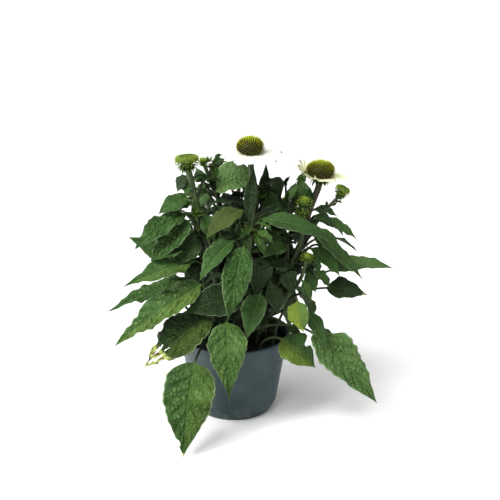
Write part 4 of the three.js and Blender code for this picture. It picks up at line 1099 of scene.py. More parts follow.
STEM_LEAVES: dict[str, tuple[Leaf, ...]] = {
    "stem_left": (
        Leaf(278, (-52, -34, 279), (-86, -48, 264), (-0.1, -0.55, 0.83), 26, arch=4),
        Leaf(298, (-52, -30, 304), (-65, -26, 285), (-0.5, -0.6, 0.5), 19, arch=3, tone=-1.1, dry=0.1),
        Leaf(244, (-55, -38, 261), (-113, -74, 228), (-0.1, -0.5, 0.85), 33, arch=7, large=True, blister=2.5, dry=0.06),
        Leaf(
            184, (-49, -56, 209), (-128, -90, 188), (-0.2, -0.66, 0.72), 33, arch=4, fold=20, wave=2,
            shape=Outline.LONG, large=True, blister=1.3, tone=0.05, yellow=0.1, sunny=-1,
        ),
        Leaf(
            224, (-51, -42, 254), (-94, -68, 211), (-0.3, -0.68, 0.66), 38, arch=4, fold=18, wave=3,
            shape=Outline.OVATE, large=True, blister=2.8, tone=0.0,
        ),
        Leaf(214, (-34, -32, 258), (-22, -38, 228), (0.3, -0.85, 0.4), 22, arch=3),
        Leaf(234, (-42, -40, 256), (-46, -46, 280), (0.2, -0.9, 0.3), 9, arch=-3),
    ),
    "stem_fork": (
        Leaf(
            260, (-18, -6, 283), (27, -14, 296), (-0.15, -0.62, 0.77), 52, arch=8, fold=36, shape=Outline.ROUND,
            large=True, tone=0.65, blister=1.9, veins=9,
        ),
        Leaf(270, (-14, 14, 288), (8, 8, 312), (-0.4, -0.7, 0.5), 17, arch=3),
        Leaf(284, (-25, 12, 309), (4, 14, 318), (-0.2, -0.6, 0.75), 20, arch=3, tone=-0.7),
        Leaf(278, (-35, 8, 286), (-41, 6, 270), (-0.3, -0.8, 0.4), 14, arch=2),
        Leaf(268, (-36, 12, 289), (-44, 10, 306), (-0.2, -0.9, 0.2), 17, arch=3),
        Leaf(188, (-42, -2, 218), (-86, -16, 224), (0, -0.75, 0.65), 30, arch=5),
        Leaf(248, (-14, -4, 260), (4, -12, 240), (0.2, -0.8, 0.5), 24, arch=5),
        Leaf(178, (-70, -4, 194), (-126, -12, 226), (0.1, -0.75, 0.6), 30, arch=1, shape=Outline.OVATE, tone=0.15),
        Leaf(178, (-54, 12, 192), (-102, 14, 176), (-0.3, -0.1, 0.95), 28, arch=5),
    ),
    "stem_centre": (
        Leaf(256, (11, -55, 270), (-30, -77, 243), (-0.35, -0.6, 0.7), 29, arch=7, tone=-0.6, yellow=0.14),
        Leaf(246, (36, -53, 260), (110, -60, 236), (0.1, -0.55, 0.83), 27, arch=8),
        Leaf(
            194, (13, -80, 234), (-5, -107, 156), (-0.1, -0.9, 0.4), 35, arch=8, wave=2, shape=Outline.OVATE,
            large=True, blister=2.6, tone=-0.1,
        ),
        Leaf(206, (0, -72, 238), (-37, -98, 200), (-0.3, -0.75, 0.6), 29, arch=6, fold=28),
        Leaf(250, (19, -50, 264), (24, -43, 321), (0.1, -1, 0.1), 18, arch=-2, fold=24, tone=-1.15),
        Leaf(174, (33, -42, 210), (27, -50, 166), (0, -0.95, 0.3), 34, arch=2, tone=-1.0),
        Leaf(220, (32, -32, 244), (34, -38, 214), (0.1, -0.95, 0.3), 19, arch=2),
    ),
    "stem_shaded": (
        Leaf(248, (33, 2, 262), (39, 0, 314), (0.3, -0.95, 0.1), 16, arch=-3, sway=2, fold=22, tone=-1.3),
        Leaf(266, (38, 8, 290), (57, -3, 272), (0.3, -0.6, 0.7), 23, arch=12, tone=-1.1),
        Leaf(234, (36, 2, 264), (58, -8, 264), (0.1, -0.7, 0.7), 26, arch=4),
        Leaf(194, (4, -4, 224), (-24, -10, 238), (0, -0.8, 0.6), 24, arch=5),
        Leaf(208, (42, -2, 238), (64, -14, 204), (0.2, -0.85, 0.4), 30, arch=5, tone=-0.6),
        Leaf(166, (36, -12, 196), (46, -22, 162), (0.1, -0.9, 0.4), 28, arch=4, tone=-1.0),
        Leaf(220, (22, -8, 248), (10, -16, 206), (-0.1, -0.9, 0.3), 30, arch=4, tone=-0.7),
    ),
    "stem_right": (
        Leaf(236, (109, 4, 243), (150, -6, 219), (0.3, -0.4, 0.87), 18, arch=5),
        Leaf(224, (88, -20, 247), (155, -44, 181), (0.5, -0.6, 0.6), 22, arch=4, sway=2),
        Leaf(238, (98, 16, 252), (127, 16, 243), (0.3, -0.4, 0.87), 17, arch=3),
        Leaf(170, (116.8, 2.0, 178.0), (196.5, -4, 182.5), (0.05, -0.6, 0.8), 23, arch=14, tone=0.45, dry=0.08),
        Leaf(200, (98, 2, 224), (126, -6, 204), (0.2, -0.7, 0.7), 24, arch=5),
        Leaf(184, (103, -8, 214), (135, -18, 186), (0.3, -0.7, 0.6), 26, arch=5, tone=-0.5),
        Leaf(194, (104, 26, 212), (156, 46, 188), (0.2, 0.2, 0.95), 26, arch=7),
    ),
    "stem_buds": (
        Leaf(194, (58, 46, 224), (56, 82, 210), (0.1, 0.5, 0.85), 24, arch=6),
        Leaf(212, (48, 30, 238), (24, 36, 228), (-0.1, 0.1, 0.95), 20, arch=4),
        Leaf(234, (74, 20, 256), (86, 22, 288), (0.2, -0.9, 0.2), 21.5, arch=3, tone=0.6, yellow=0.1),
        Leaf(228, (50, 18, 252), (50, 20, 288), (-0.2, -0.95, 0.2), 21.5, arch=3),
        Leaf(158, (66, 38, 174), (104, 46, 158), (0.3, 0.2, 0.9), 24, arch=5),
    ),
    "stem_buds_front": (
        Leaf(186, (93, -22, 214), (127, -36, 184), (0.3, -0.6, 0.75), 27, arch=4, fold=24),
        Leaf(188, (62, -38, 224), (34, -58, 214), (-0.1, -0.7, 0.7), 22, arch=5),
        Leaf(244, (81, -8, 276), (82, -5, 294), (0.2, -0.95, 0.1), 17, arch=3, tone=0.5),
        Leaf(236, (67.3, -14, 275.8), (76.6, -12, 291.1), (-0.4, -0.9, 0), 9, arch=3, tone=0.7),
        Leaf(148, (45, -54, 181), (53, -65, 146), (0.2, -0.9, 0.3), 21, arch=2, tone=-0.9),
        Leaf(166, (62, -38, 195), (71, -50, 165), (0.1, -0.9, 0.4), 21, arch=2, tone=-1.0),
    ),
    "stem_low": (
        Leaf(148, (113, -18, 163), (162, -28, 157.5), (0.1, -0.65, 0.75), 30, arch=3, tone=-0.9, dry=0.14),
        Leaf(170, (88, -24, 186), (99, -26, 160), (0.2, -0.85, 0.4), 18, arch=3),
        Leaf(130, (88, -47, 145), (111, -84, 106), (0.4, -0.7, 0.5), 21, arch=3),
        Leaf(164, (82, -46, 182), (92, -56, 158), (0.3, -0.8, 0.5), 13, arch=2),
    ),
    "stem_rear_left": (
        Leaf(206, (-72, 46, 228), (-112, 44, 206), (-0.3, -0.1, 0.95), 28, arch=6),
        Leaf(188, (-66, 72, 216), (-104, 104, 184), (-0.4, 0.4, 0.85), 32, arch=9),
        Leaf(226, (-44, 72, 248), (-34, 112, 224), (0.1, 0.5, 0.85), 28, arch=8),
        Leaf(148, (-66, 50, 166), (-126, 66, 138), (-0.4, 0.2, 0.9), 34, arch=10),
        Leaf(236, (-44, 38, 256), (-20, 30, 272), (0.2, -0.7, 0.6), 24, arch=5),
    ),
    "stem_rear": (
        Leaf(254, (-8, 62, 274), (-36, 80, 256), (-0.2, 0.2, 0.95), 24, arch=7),
        Leaf(224, (30, 72, 248), (52, 108, 224), (0.3, 0.5, 0.85), 30, arch=9),
        Leaf(188, (0, 88, 212), (-10, 134, 174), (-0.1, 0.7, 0.7), 36, arch=10),
        Leaf(238, (22, 40, 256), (46, 30, 268), (0.1, -0.8, 0.5), 24, arch=5),
        Leaf(202, (-6, 36, 226), (-24, 30, 254), (-0.1, -0.9, 0.4), 28, arch=4),
        Leaf(148, (24, 76, 168), (36, 122, 134), (0.2, 0.7, 0.7), 34, arch=9),
    ),
    "stem_rear_right": (
        Leaf(202, (96, 60, 228), (140, 74, 200), (0.4, 0.2, 0.9), 28, arch=8),
        Leaf(208, (80, 74, 234), (92, 116, 204), (0.2, 0.6, 0.8), 30, arch=9),
        Leaf(158, (84, 64, 174), (134, 98, 144), (0.4, 0.4, 0.85), 34, arch=9),
        Leaf(212, (86, 34, 234), (100, 22, 214), (0.3, -0.7, 0.6), 22, arch=4),
    ),
}

BASAL_LEAVES: dict[str, Leaf] = {
    "leaf_left_far": Leaf(
        0, (-58, -22, 175), (-150, -56, 146), (-0.1, -0.45, 0.88), 29, arch=2, wave=2.2, shape=Outline.OVATE,
        root=(-36, -4), tone=-0.15, blister=2.4,
    ),
    "leaf_left_long": Leaf(
        0, (-38, -60, 181), (-137, -100, 120), (-0.25, -0.7, 0.67), 40, arch=7, wave=2, shape=Outline.OVATE,
        root=(-28, -26), large=True, blister=2.6, tone=0.05, yellow=0.16, sunny=-1,
    ),
    "leaf_left_holed": Leaf(
        0, (-28, -66, 146), (-103, -101, 95), (-0.2, -0.75, 0.63), 54, arch=4, wave=2.4, shape=Outline.OVATE,
        root=(-30, -30), large=True, blister=2.4, tone=-0.75, yellow=0.12, sunny=-1, dry=0.3,
        holes=(
            Hole(0.3, 0.72, 1.3, 7.5), Hole(-0.32, 0.8, 1.4, 6.5), Hole(0.0, 0.88, 1.2, 4.5),
            Hole(-0.12, 0.66, 0.9, 4),
        ),
        notches=(
            Notch(1, 0.55, 0.04, 0.2), Notch(1, 0.7, 0.05, 0.28), Notch(-1, 0.78, 0.05, 0.3), Notch(1, 0.9, 0.04, 0.4),
        ),
    ),
    "leaf_left_broad": Leaf(
        0, (10, -52, 166), (-56, -80, 155), (0, -0.76, 0.65), 44, arch=4, shape=Outline.OVATE, root=(-8, -36),
        tone=-0.8,
    ),
    "leaf_front_left": Leaf(
        0, (-44, -99, 99.5), (-56, -145, 2.5), (-0.1, -0.93, 0.35), 62, arch=8, fold=14, wave=3, shape=Outline.WEDGE,
        root=(-22, -42), rise=34, large=True, blister=3.1, tone=0.0, yellow=0.1, sunny=-1, dry=0.07,
        notches=(Notch(1, 0.84, 0.035, 0.4),), sway=1.2,
    ),
    "leaf_front": Leaf(
        0, (-7, -77, 141), (-4, -99, 50), (0, -0.95, 0.3), 48, arch=6, fold=18, wave=3, shape=Outline.TAPERED,
        root=(-6, -46), large=True, blister=2.8, tone=0.2, yellow=0.05,
    ),
    "leaf_front_inner": Leaf(
        0, (32, -74, 175), (17, -94, 129), (-0.25, -0.85, 0.45), 33, arch=3, fold=30, wave=2.4, shape=Outline.OVATE,
        root=(16, -40), tone=-0.2,
    ),
    "leaf_right_large": Leaf(
        0, (95, -61, 121), (170.5, -85, 42), (0.45, -0.75, 0.5), 50, arch=7, fold=14, wave=3, shape=Outline.BROAD,
        root=(8, -46), rise=42, large=True, blister=2.9, tone=0.35, sway=0,
    ),
    "leaf_right_torn": Leaf(
        0, (58, -59, 113), (97, -76, 84), (0.2, -0.8, 0.55), 42, arch=4, shape=Outline.OVATE, root=(32, -42),
        tone=-0.3, yellow=0.28, sunny=1, notches=(Notch(-1, 0.5, 0.07, 0.45),),
    ),
    "leaf_yellow": Leaf(
        0, (76, -60, 160), (83, -71, 127), (-0.35, -0.9, 0.3), 30, arch=3, fold=26, wave=2.6, shape=Outline.OVATE,
        root=(48, -33), yellow=0.7, sunny=1, tone=0.1, dry=0.12,
    ),
    "leaf_left_side": Leaf(
        0, (-76, 4, 138), (-126, 4, 96), (-0.5, -0.1, 0.8), 34, arch=8, shape=Outline.OVATE, root=(-48, 8),
    ),
}

BRANCHES: dict[str, Branch] = {
    "stem_right": Branch(212, ((95, 1, 232), (109, -1, 254), (127, 0, 274)), (2.2, 2), 0.7),
}

REAR_LEAVES: tuple[Spoke, ...] = (
    Spoke(30, 116, 82, 40), Spoke(56, 132, 58, 46), Spoke(82, 142, 84, 44),
    Spoke(108, 128, 54, 48), Spoke(134, 144, 80, 42), Spoke(158, 128, 90, 38),
)

HEADS: dict[str, Head] = {
    "bloom_centre": Head("stem_centre", (20.5, -33, 332.5), (0, -0.1, 1), 16.7, 19.5, 14, 38, 2),
    "bloom_right": Head(
        "stem_right", (104.5, 10, 294.5), (0.04, -0.04, 1), 18, 20, 14, 34, 0,
        SmallRays(120, 245, 31, 0.5, 12), SmallRays(245, 330, 22, 0.75),
    ),
    "bud_left": Head("stem_left", (-52.5, -32.5, 319), (-0.06, -0.04, 1), 15, 11),
    "bud_right": Head("stem_right", (129, -0.5, 277.5), (0.42, -0.12, 0.9), 10, 8),
}

# Where shaded leaves may grow: height, then how far to the left, right, front and back.
ENVELOPE: tuple[tuple[float, ...], ...] = (
    (100, -50, 50, -56, 60), (125, -72, 72, -60, 88), (165, -94, 96, -58, 100), (205, -98, 100, -54, 100),
    (238, -92, 92, -48, 95), (262, -68, 76, -40, 80), (290, -46, 50, -28, 60), (312, -34, 24, -14, 40),
)

# Tufts of young leaves beside the stems: where each is and how large.
TUFTS: dict[str, tuple[tuple[Triple, float], ...]] = {
    "stem_centre": (((18, -53, 244), 12.0), ((30, -54, 236), 11.0)),
    "stem_left": (((-42, -40, 262), 8.0), ((-36, -38, 244), 9.0)),
    "stem_fork": (((-36, 4, 312), 9.0), ((-29, 6, 314), 8.0), ((-26, 8, 307), 9.0)),
    "stem_shaded": (((32, 6, 280), 10.0), ((36, 4, 268), 10.0)),
    "stem_buds_front": (((84, -18, 252), 11.0), ((80, -22, 240), 12.0)),
}

# Small leaves that only the look has.
SMALL_LEAVES: dict[str, tuple[Leaf, ...]] = {
    "stem_centre": (
        Leaf(244, (22, -56, 249), (7, -66, 239), (-0.2, -0.8, 0.5), 11, arch=3, fold=32, wave=3, tone=0.1),
        Leaf(240, (30, -56, 245), (48, -64, 233), (0.2, -0.8, 0.5), 12, arch=4, fold=32, wave=3, tone=0.2),
        Leaf(236, (27, -58, 240), (37, -66, 219), (0.1, -0.9, 0.3), 12, arch=4, fold=34, wave=3, tone=0.1),
        Leaf(238, (18, -56, 243), (13, -64, 225), (-0.2, -0.9, 0.4), 11, arch=3, fold=34, wave=3),
        Leaf(248, (30, -54, 255), (45, -60, 247), (0.2, -0.7, 0.7), 9, arch=3, fold=34, wave=3, tone=0.2),
    ),
    "stem_shaded": (
        Leaf(210, (42, -20, 232), (61, -34, 214), (0.2, -0.8, 0.5), 14, arch=6, fold=30, wave=3, tone=-0.3),
        Leaf(200, (40, -22, 213), (64, -36, 222), (-0.1, -0.8, 0.6), 12, arch=5, fold=30, wave=3, tone=-0.2),
    ),
    "stem_buds_front": (
        Leaf(198, (90, -34, 210), (103, -44, 189), (0.3, -0.8, 0.5), 14, arch=4, fold=28, wave=2.5, tone=-0.3),
        Leaf(178, (97, -36, 191), (115, -44, 172), (0.3, -0.8, 0.5), 15, arch=4, fold=26, wave=2.5, tone=-0.5),
    ),
    "stem_low": (
        Leaf(128, (64, -46, 126), (82, -54, 113), (0.2, -0.8, 0.5), 12, arch=3, wave=2.5, tone=-0.5),
    ),
    "stem_left": (
        Leaf(250, (-47, -36, 273), (-63, -42, 266), (-0.2, -0.7, 0.7), 13, arch=3, fold=24, wave=2.5, tone=-0.1),
        Leaf(284, (-49, -32, 297), (-55, -34, 281), (-0.3, -0.9, 0.3), 13, arch=3, wave=2.5, tone=0.2),
        Leaf(226, (-44, -44, 236), (-66, -62, 205), (-0.1, -0.85, 0.5), 34, arch=4, wave=2.5, tone=-0.5),
        Leaf(206, (-52, -50, 222), (-96, -72, 214), (-0.1, -0.6, 0.8), 21, arch=5, fold=24, wave=2.5, tone=0.1),
    ),
    "stem_fork": (
        Leaf(262, (-13, 8, 284), (-24, 10, 311), (-0.2, -0.9, 0.3), 18, arch=3, fold=26, tone=0.1),
        Leaf(286, (-24, 8, 311), (3, 6, 315), (0.1, -0.7, 0.7), 14, arch=5, fold=34, wave=2, tone=-0.6),
        Leaf(280, (-26, 2, 296), (-16, -2, 274), (0.1, -0.9, 0.3), 13, arch=3, tone=-0.8),
        Leaf(240, (-6, -2, 272), (26, -8, 276), (0, -0.8, 0.6), 12, arch=3, fold=30, wave=2.5, tone=-0.9),
    ),
    "stem_buds": (
        Leaf(240, (80, 6, 288), (87, 2, 305), (-0.1, -0.9, 0.3), 12, arch=3, fold=26, wave=2.5, tone=0.4),
        Leaf(246, (63, 12, 283), (69, 8, 297), (-0.4, -0.8, 0.3), 8, arch=3, fold=40, tone=-0.6, dry=0.3),
        Leaf(240, (74, 8, 272), (79, 4, 297), (0.3, -0.9, 0.2), 16, arch=4, fold=30, wave=3, tone=0.5, yellow=0.1),
        Leaf(236, (66, 10, 266), (76, 6, 290), (-0.2, -0.9, 0.2), 11, arch=3, fold=30, wave=2, tone=0.3),
    ),
    "stem_right": (
        Leaf(262, (94, -4, 268), (86, -6, 292), (-0.2, -0.9, 0.2), 13, arch=3, fold=26, wave=2, tone=-0.4),
        Leaf(228, (99, -4, 250), (120, -10, 236), (0.1, -0.7, 0.7), 16, arch=4, fold=26, tone=-0.5),
    ),
}
BRANCH_LEAVES: dict[str, tuple[Leaf, ...]] = {
    "stem_right": (
        Leaf(252, (111.5, -2, 257), (110, -5, 270), (-0.8, -0.5, 0.2), 7, arch=-2, fold=34, tone=-1.2, dry=0.2),
        Leaf(262, (122, -2, 264), (131, -6, 266), (0.2, -0.5, 0.8), 7, arch=3, fold=34, tone=-1.2, dry=0.2),
    ),
}

# Closed buds at the tops of the small stems: radius and height of each.
CLOSED_BUDS: dict[str, Pair] = {
    "stem_fork": (4.5, 9), "stem_shaded": (3.4, 6), "stem_buds": (6, 9), "stem_buds_front": (8, 12),
    "stem_low": (6, 8), "stem_rear_left": (5.5, 8), "stem_rear": (6, 9), "stem_rear_right": (5.5, 8),
}


# ---------------------------------------------------------------- stems and their buds


def inside(spot: Vector) -> bool:
    """Tells whether a place is well inside the plant, where shaded leaves may grow."""
    rows = ENVELOPE
    if not rows[0][0] <= spot.z <= rows[-1][0]:
        return False
    k = max(i for i, row in enumerate(rows[:-1]) if row[0] <= spot.z)
    share = (spot.z - rows[k][0]) / (rows[k + 1][0] - rows[k][0])
    left, right, front, back = (lerp(a, b, share) for a, b in zip(rows[k][1:], rows[k + 1][1:]))
    return left <= spot.x <= right and front <= spot.y <= back


@dataclass
class LeafyStem:
    """A stem with its branch, its leaves, the cups under its heads and the bud at its top."""

    name: str
    leaf: Material
    bark: Material
    scales: Material
    around: int = 14
    step: float = 5.0
    rise: float = 8.0  # height of the stem's straight foot
    inner_foot: float = 104.0  # where the shaded leaves start
    inner_top: float = 30.0  # how far under the stem's top the shaded leaves end
    ribs: int = 8
    rib_height: float = 0.05  # as a share of the radius, as are the next two
    unevenness: float = 0.05
    swelling: float = 0.16  # where a leaf leaves the stem

    def build(self) -> None:
        """Builds the stem's pieces."""
        stem = STEMS[self.name]
        foot = Vector((*stem.root, SOIL_TOP + 1))
        line = Line([foot, foot + UP * self.rise, *map(Vector, stem.path)])
        self.stalks(stem, line)
        self.foliage(line)
        self.buds(line)

    def stalks(self, stem: Stem, line: Line) -> None:
        """Builds the stem and its branch."""
        skin = Skin()
        buried = [Vector((*stem.root, SOIL_TOP - BURY))]
        self.tube(skin, buried + line.walk(self.step), stem)
        branch = BRANCHES.get(self.name)
        if branch:
            self.tube(skin, self.side(line, branch).walk(self.step * 0.7), branch)
        skin.piece(f"{self.name}_stalk", [self.name], self.bark)

    @staticmethod
    def side(line: Line, branch: Branch) -> Line:
        """Returns the line of a branch."""
        return Line([line.at_height(branch.start), *map(Vector, branch.path)])

    def tube(self, skin: Skin, points: list[Vector], stem: Stem | Branch) -> None:
        """Adds a tapered, ribbed tube along a line, with a slight swelling where each leaf leaves it."""
        frames = frames_along(points, Vector((1, 0, 0)))
        joints = [leaf.start for leaf in STEM_LEAVES[self.name]]
        last = len(frames) - 1

        def point(k: int, row: int) -> Mark:
            """Returns one point of the tube."""
            frame, share = frames[row], row / last
            turn = FULL_TURN * k / self.around
            thick = lerp(*stem.radius, share)
            thick *= 1 + self.rib_height * math.cos(self.ribs * turn)
            thick *= 1 + self.unevenness * noise.noise(frame.at * 0.09)
            near = min((abs(frame.at.z - joint) for joint in joints), default=99.0)
            thick *= 1 + self.swelling * smooth(8, 0, near)
            spot = frame.at + (frame.normal * math.cos(turn) + frame.side * math.sin(turn)) * thick
            flush = stem.flush * smooth(0.3, 0.8, share)
            return spot, (min(k, self.around - k) / self.around, share, 0), PLAIN, (flush, 0, 0)

        skin.wrap(len(frames), self.around, point)

    def foliage(self, line: Line) -> None:
        """Builds the stem's leaves."""
        skin = Skin()
        builder = LeafBuilder(skin)
        for leaf in (*STEM_LEAVES[self.name], *SMALL_LEAVES.get(self.name, ()), *self.inner_leaves(line)):
            builder.on_stem(leaf, line)
        for leaf in BRANCH_LEAVES.get(self.name, ()):
            builder.on_stem(leaf, self.side(line, BRANCHES[self.name]))
        skin.piece(f"{self.name}_leaves", [self.name], self.leaf)

    def inner_leaves(self, line: Line) -> list[Leaf]:
        """Returns the shaded leaves that fill the middle of the plant, in a spiral up the stem."""
        rng = random.Random(f"{self.name} inner")
        turn, height, found = rng.uniform(0, FULL_TURN), self.inner_foot, []
        while height < line.at(1).z - self.inner_top:
            turn += GOLDEN + rng.uniform(-0.3, 0.3)
            length = rng.uniform(40, 64)
            droop = math.radians(rng.uniform(-15, 60))
            out = Vector((math.cos(turn), math.sin(turn), 0))
            base = line.at_height(height) + out * rng.uniform(10, 20) + UP * rng.uniform(12, 26)
            way = out * math.cos(droop) - UP * math.sin(droop)
            face = out * math.sin(droop) + UP * math.cos(droop) + out.cross(UP) * rng.uniform(-0.5, 0.5)
            for share in (1.0, 0.75, 0.55):
                tip = base + way * (length * share)
                if inside(tip) and inside(base):
                    width = length * share * rng.uniform(0.42, 0.56)
                    # Their low tone paints shade on them, deep in the plant.
                    found.append(Leaf(
                        height, tuple(base), tuple(tip), tuple(face), width, arch=rng.uniform(2, 9),
                        sway=rng.uniform(-3, 3), wave=rng.uniform(1.5, 3),
                        shape=rng.choice((Outline.OVATE, Outline.LANCE)), tone=rng.uniform(-1.2, -0.6), hidden=True,
                    ))
                    break
            height += rng.uniform(6, 10)
        return found

    def buds(self, line: Line) -> None:
        """Builds the cups under the stem's heads, and the closed bud at its top."""
        skin = Skin()
        for head in HEADS.values():
            if head.stem == self.name:
                BractCup(head).build(skin)
        if self.name in CLOSED_BUDS:
            radius, height = CLOSED_BUDS[self.name]
            ClosedBud(line.at(1), line.top_heading(), radius, height).build(skin)
        for k, (place, size) in enumerate(TUFTS.get(self.name, ())):
            tuft(skin, place, size, random.Random(f"{self.name} tuft {k}"))
        skin.piece(f"{self.name}_bracts", [self.name], self.scales)


def whorl(
    skin: Skin, frame: Matrix, count: int, radius: float, height: float, rise: float, scale: Triple, tone: float,
    rng: random.Random, shift: float,
) -> None:
    """Adds a ring of pointed scales round an axis.

    Args:
        skin: The skin that they go into.
        frame: The transform whose z axis they stand round.
        count: How many there are.
        radius: How far from the axis they start.
        height: How high along it they start.
        rise: The angle at which they start, above level, in degrees.
        scale: Length, width and bend of each.
        tone: How bright they are.
        rng: The source of their unevenness.
        shift: How far the ring is turned, in steps.
    """
    length, width, bend = scale
    for k in range(count):
        turn = FULL_TURN * (k + shift + rng.uniform(-0.25, 0.25)) / count
        angle = math.radians(rise + rng.uniform(-9, 9))
        place = frame @ Matrix.Rotation(turn, 4, "Z") @ Matrix.Translation((radius, 0, height))
        place = place @ Matrix.Rotation(-angle, 4, "Y") @ Matrix.Rotation(rng.uniform(-0.3, 0.3), 4, "X")
        look = (tone + rng.uniform(-0.25, 0.25), 0, 0)
        size = rng.uniform(0.82, 1.12)
        skin.scale(place, length * size, width, bend + rng.uniform(-0.2, 0.2), look)


def whorls(
    skin: Skin, frame: Matrix, rows: Sequence[Row], radius: float, height: float, size: Pair, rng: random.Random
) -> None:
    """Adds rings of scales above each other, each turned by half a step.

    Args:
        skin: The skin that they go into.
        frame: The transform whose z axis they stand round.
        rows: Count, radius, height, rise, form and tone of each ring.
        radius: What a radius of 1 stands for.
        height: What a height of 1 stands for.
        size: What a length and a width of 1 stand for.
        rng: The source of their unevenness.
    """
    for i, (count, share, high, rise, (length, width, bend), tone) in enumerate(rows):
        form = (length * size[0], width * size[1], bend)
        whorl(skin, frame, count, share * radius, high * height, rise, form, tone, rng, i / 2)


def tuft(skin: Skin, place: Triple, size: float, rng: random.Random) -> None:
    """Adds a tuft of small young leaves round a place, which bend in all directions."""
    frame = Matrix.Translation(place)
    rows = ((8, 8, 1.0, 0.34, -0.3), (38, 9, 0.95, 0.3, -0.25), (66, 8, 0.8, 0.26, -0.15))
    for rise, count, share, width, tone in rows:
        form = (size * share, size * width, rng.uniform(-0.9, 0.9))
        whorl(skin, frame, count, 0.8, 0.0, rise, form, tone, rng, rng.random())


@dataclass
class BractCup:
    """The green cup under a head, with three rings of pointed bracts that bend back."""

    head: Head
    seat: float = 0.3
    neck: float = 3.4
    around: int = 28
    ripple: float = 0.04
    level: float = 0.3
    usual_radius: float = 16.0  # of the head that the bracts' sizes are meant for
    rows: tuple[Row, ...] = (
        (17, 0.46, -0.7, -10, (7.5, 2.9, -0.7), -0.5), (15, 0.4, -2.0, -34, (8, 2.8, -0.9), -0.6),
        (13, 0.32, -3.2, -52, (7, 2.5, -0.7), -0.7),
    )

    def build(self, skin: Skin) -> None:
        """Adds the cup to a skin."""
        axis = Vector(self.head.lean).normalized()
        frame = seated(self.head.at, axis) @ Matrix.Translation((0, 0, -self.seat))
        radius = self.head.radius
        rings = ((-7.5, self.neck), (-5.5, self.neck * 1.05), (-3.4, 0.34 * radius), (-1.8, 0.48 * radius),
                 (-0.6, 0.52 * radius), (0.0, 0.46 * radius), (0.0, 0.02))
        skin.turned(frame, [(*ring, self.level) for ring in rings], self.around, self.ripple)
        size = radius / self.usual_radius
        whorls(skin, frame, self.rows, radius, 1, (size, size), random.Random(self.head.stem))


@dataclass
class ClosedBud:
    """A closed bud: a ball of pointed scales, pale green and fuzzy in the middle."""

    at: Vector
    axis: Vector
    radius: float
    height: float
    around: int = 14
    rows: tuple[Row, ...] = (
        (10, 0.5, 0.0, -25, (0.95, 0.34, 0.5), 0.0), (12, 0.66, 0.18, 5, (0.85, 0.3, 0.5), 0.15),
        (12, 0.72, 0.4, 30, (0.75, 0.26, 0.3), 0.35), (12, 0.62, 0.62, 52, (0.6, 0.22, 0.2), 0.55),
        (11, 0.42, 0.8, 68, (0.5, 0.18, 0.2), 0.8), (8, 0.2, 0.88, 80, (0.45, 0.16, 0.2), 1.0),
    )

    def build(self, skin: Skin) -> None:
        """Adds the bud to a skin."""
        frame = seated(self.at, self.axis)
        r, h = self.radius, self.height * 0.85
        rings = ((-1.0, 0.45 * r), (0.15 * h, 0.72 * r), (0.45 * h, 0.82 * r), (0.75 * h, 0.66 * r),
                 (0.92 * h, 0.38 * r), (0.97 * h, 0.02))
        skin.turned(frame, [(high, wide, 0.2 + 0.5 * max(high, 0) / h) for high, wide in rings], self.around)
        whorls(skin, frame, self.rows, r, h, (r, r), random.Random(round(self.at.x * 7 + self.at.z)))


# ---------------------------------------------------------------- heads


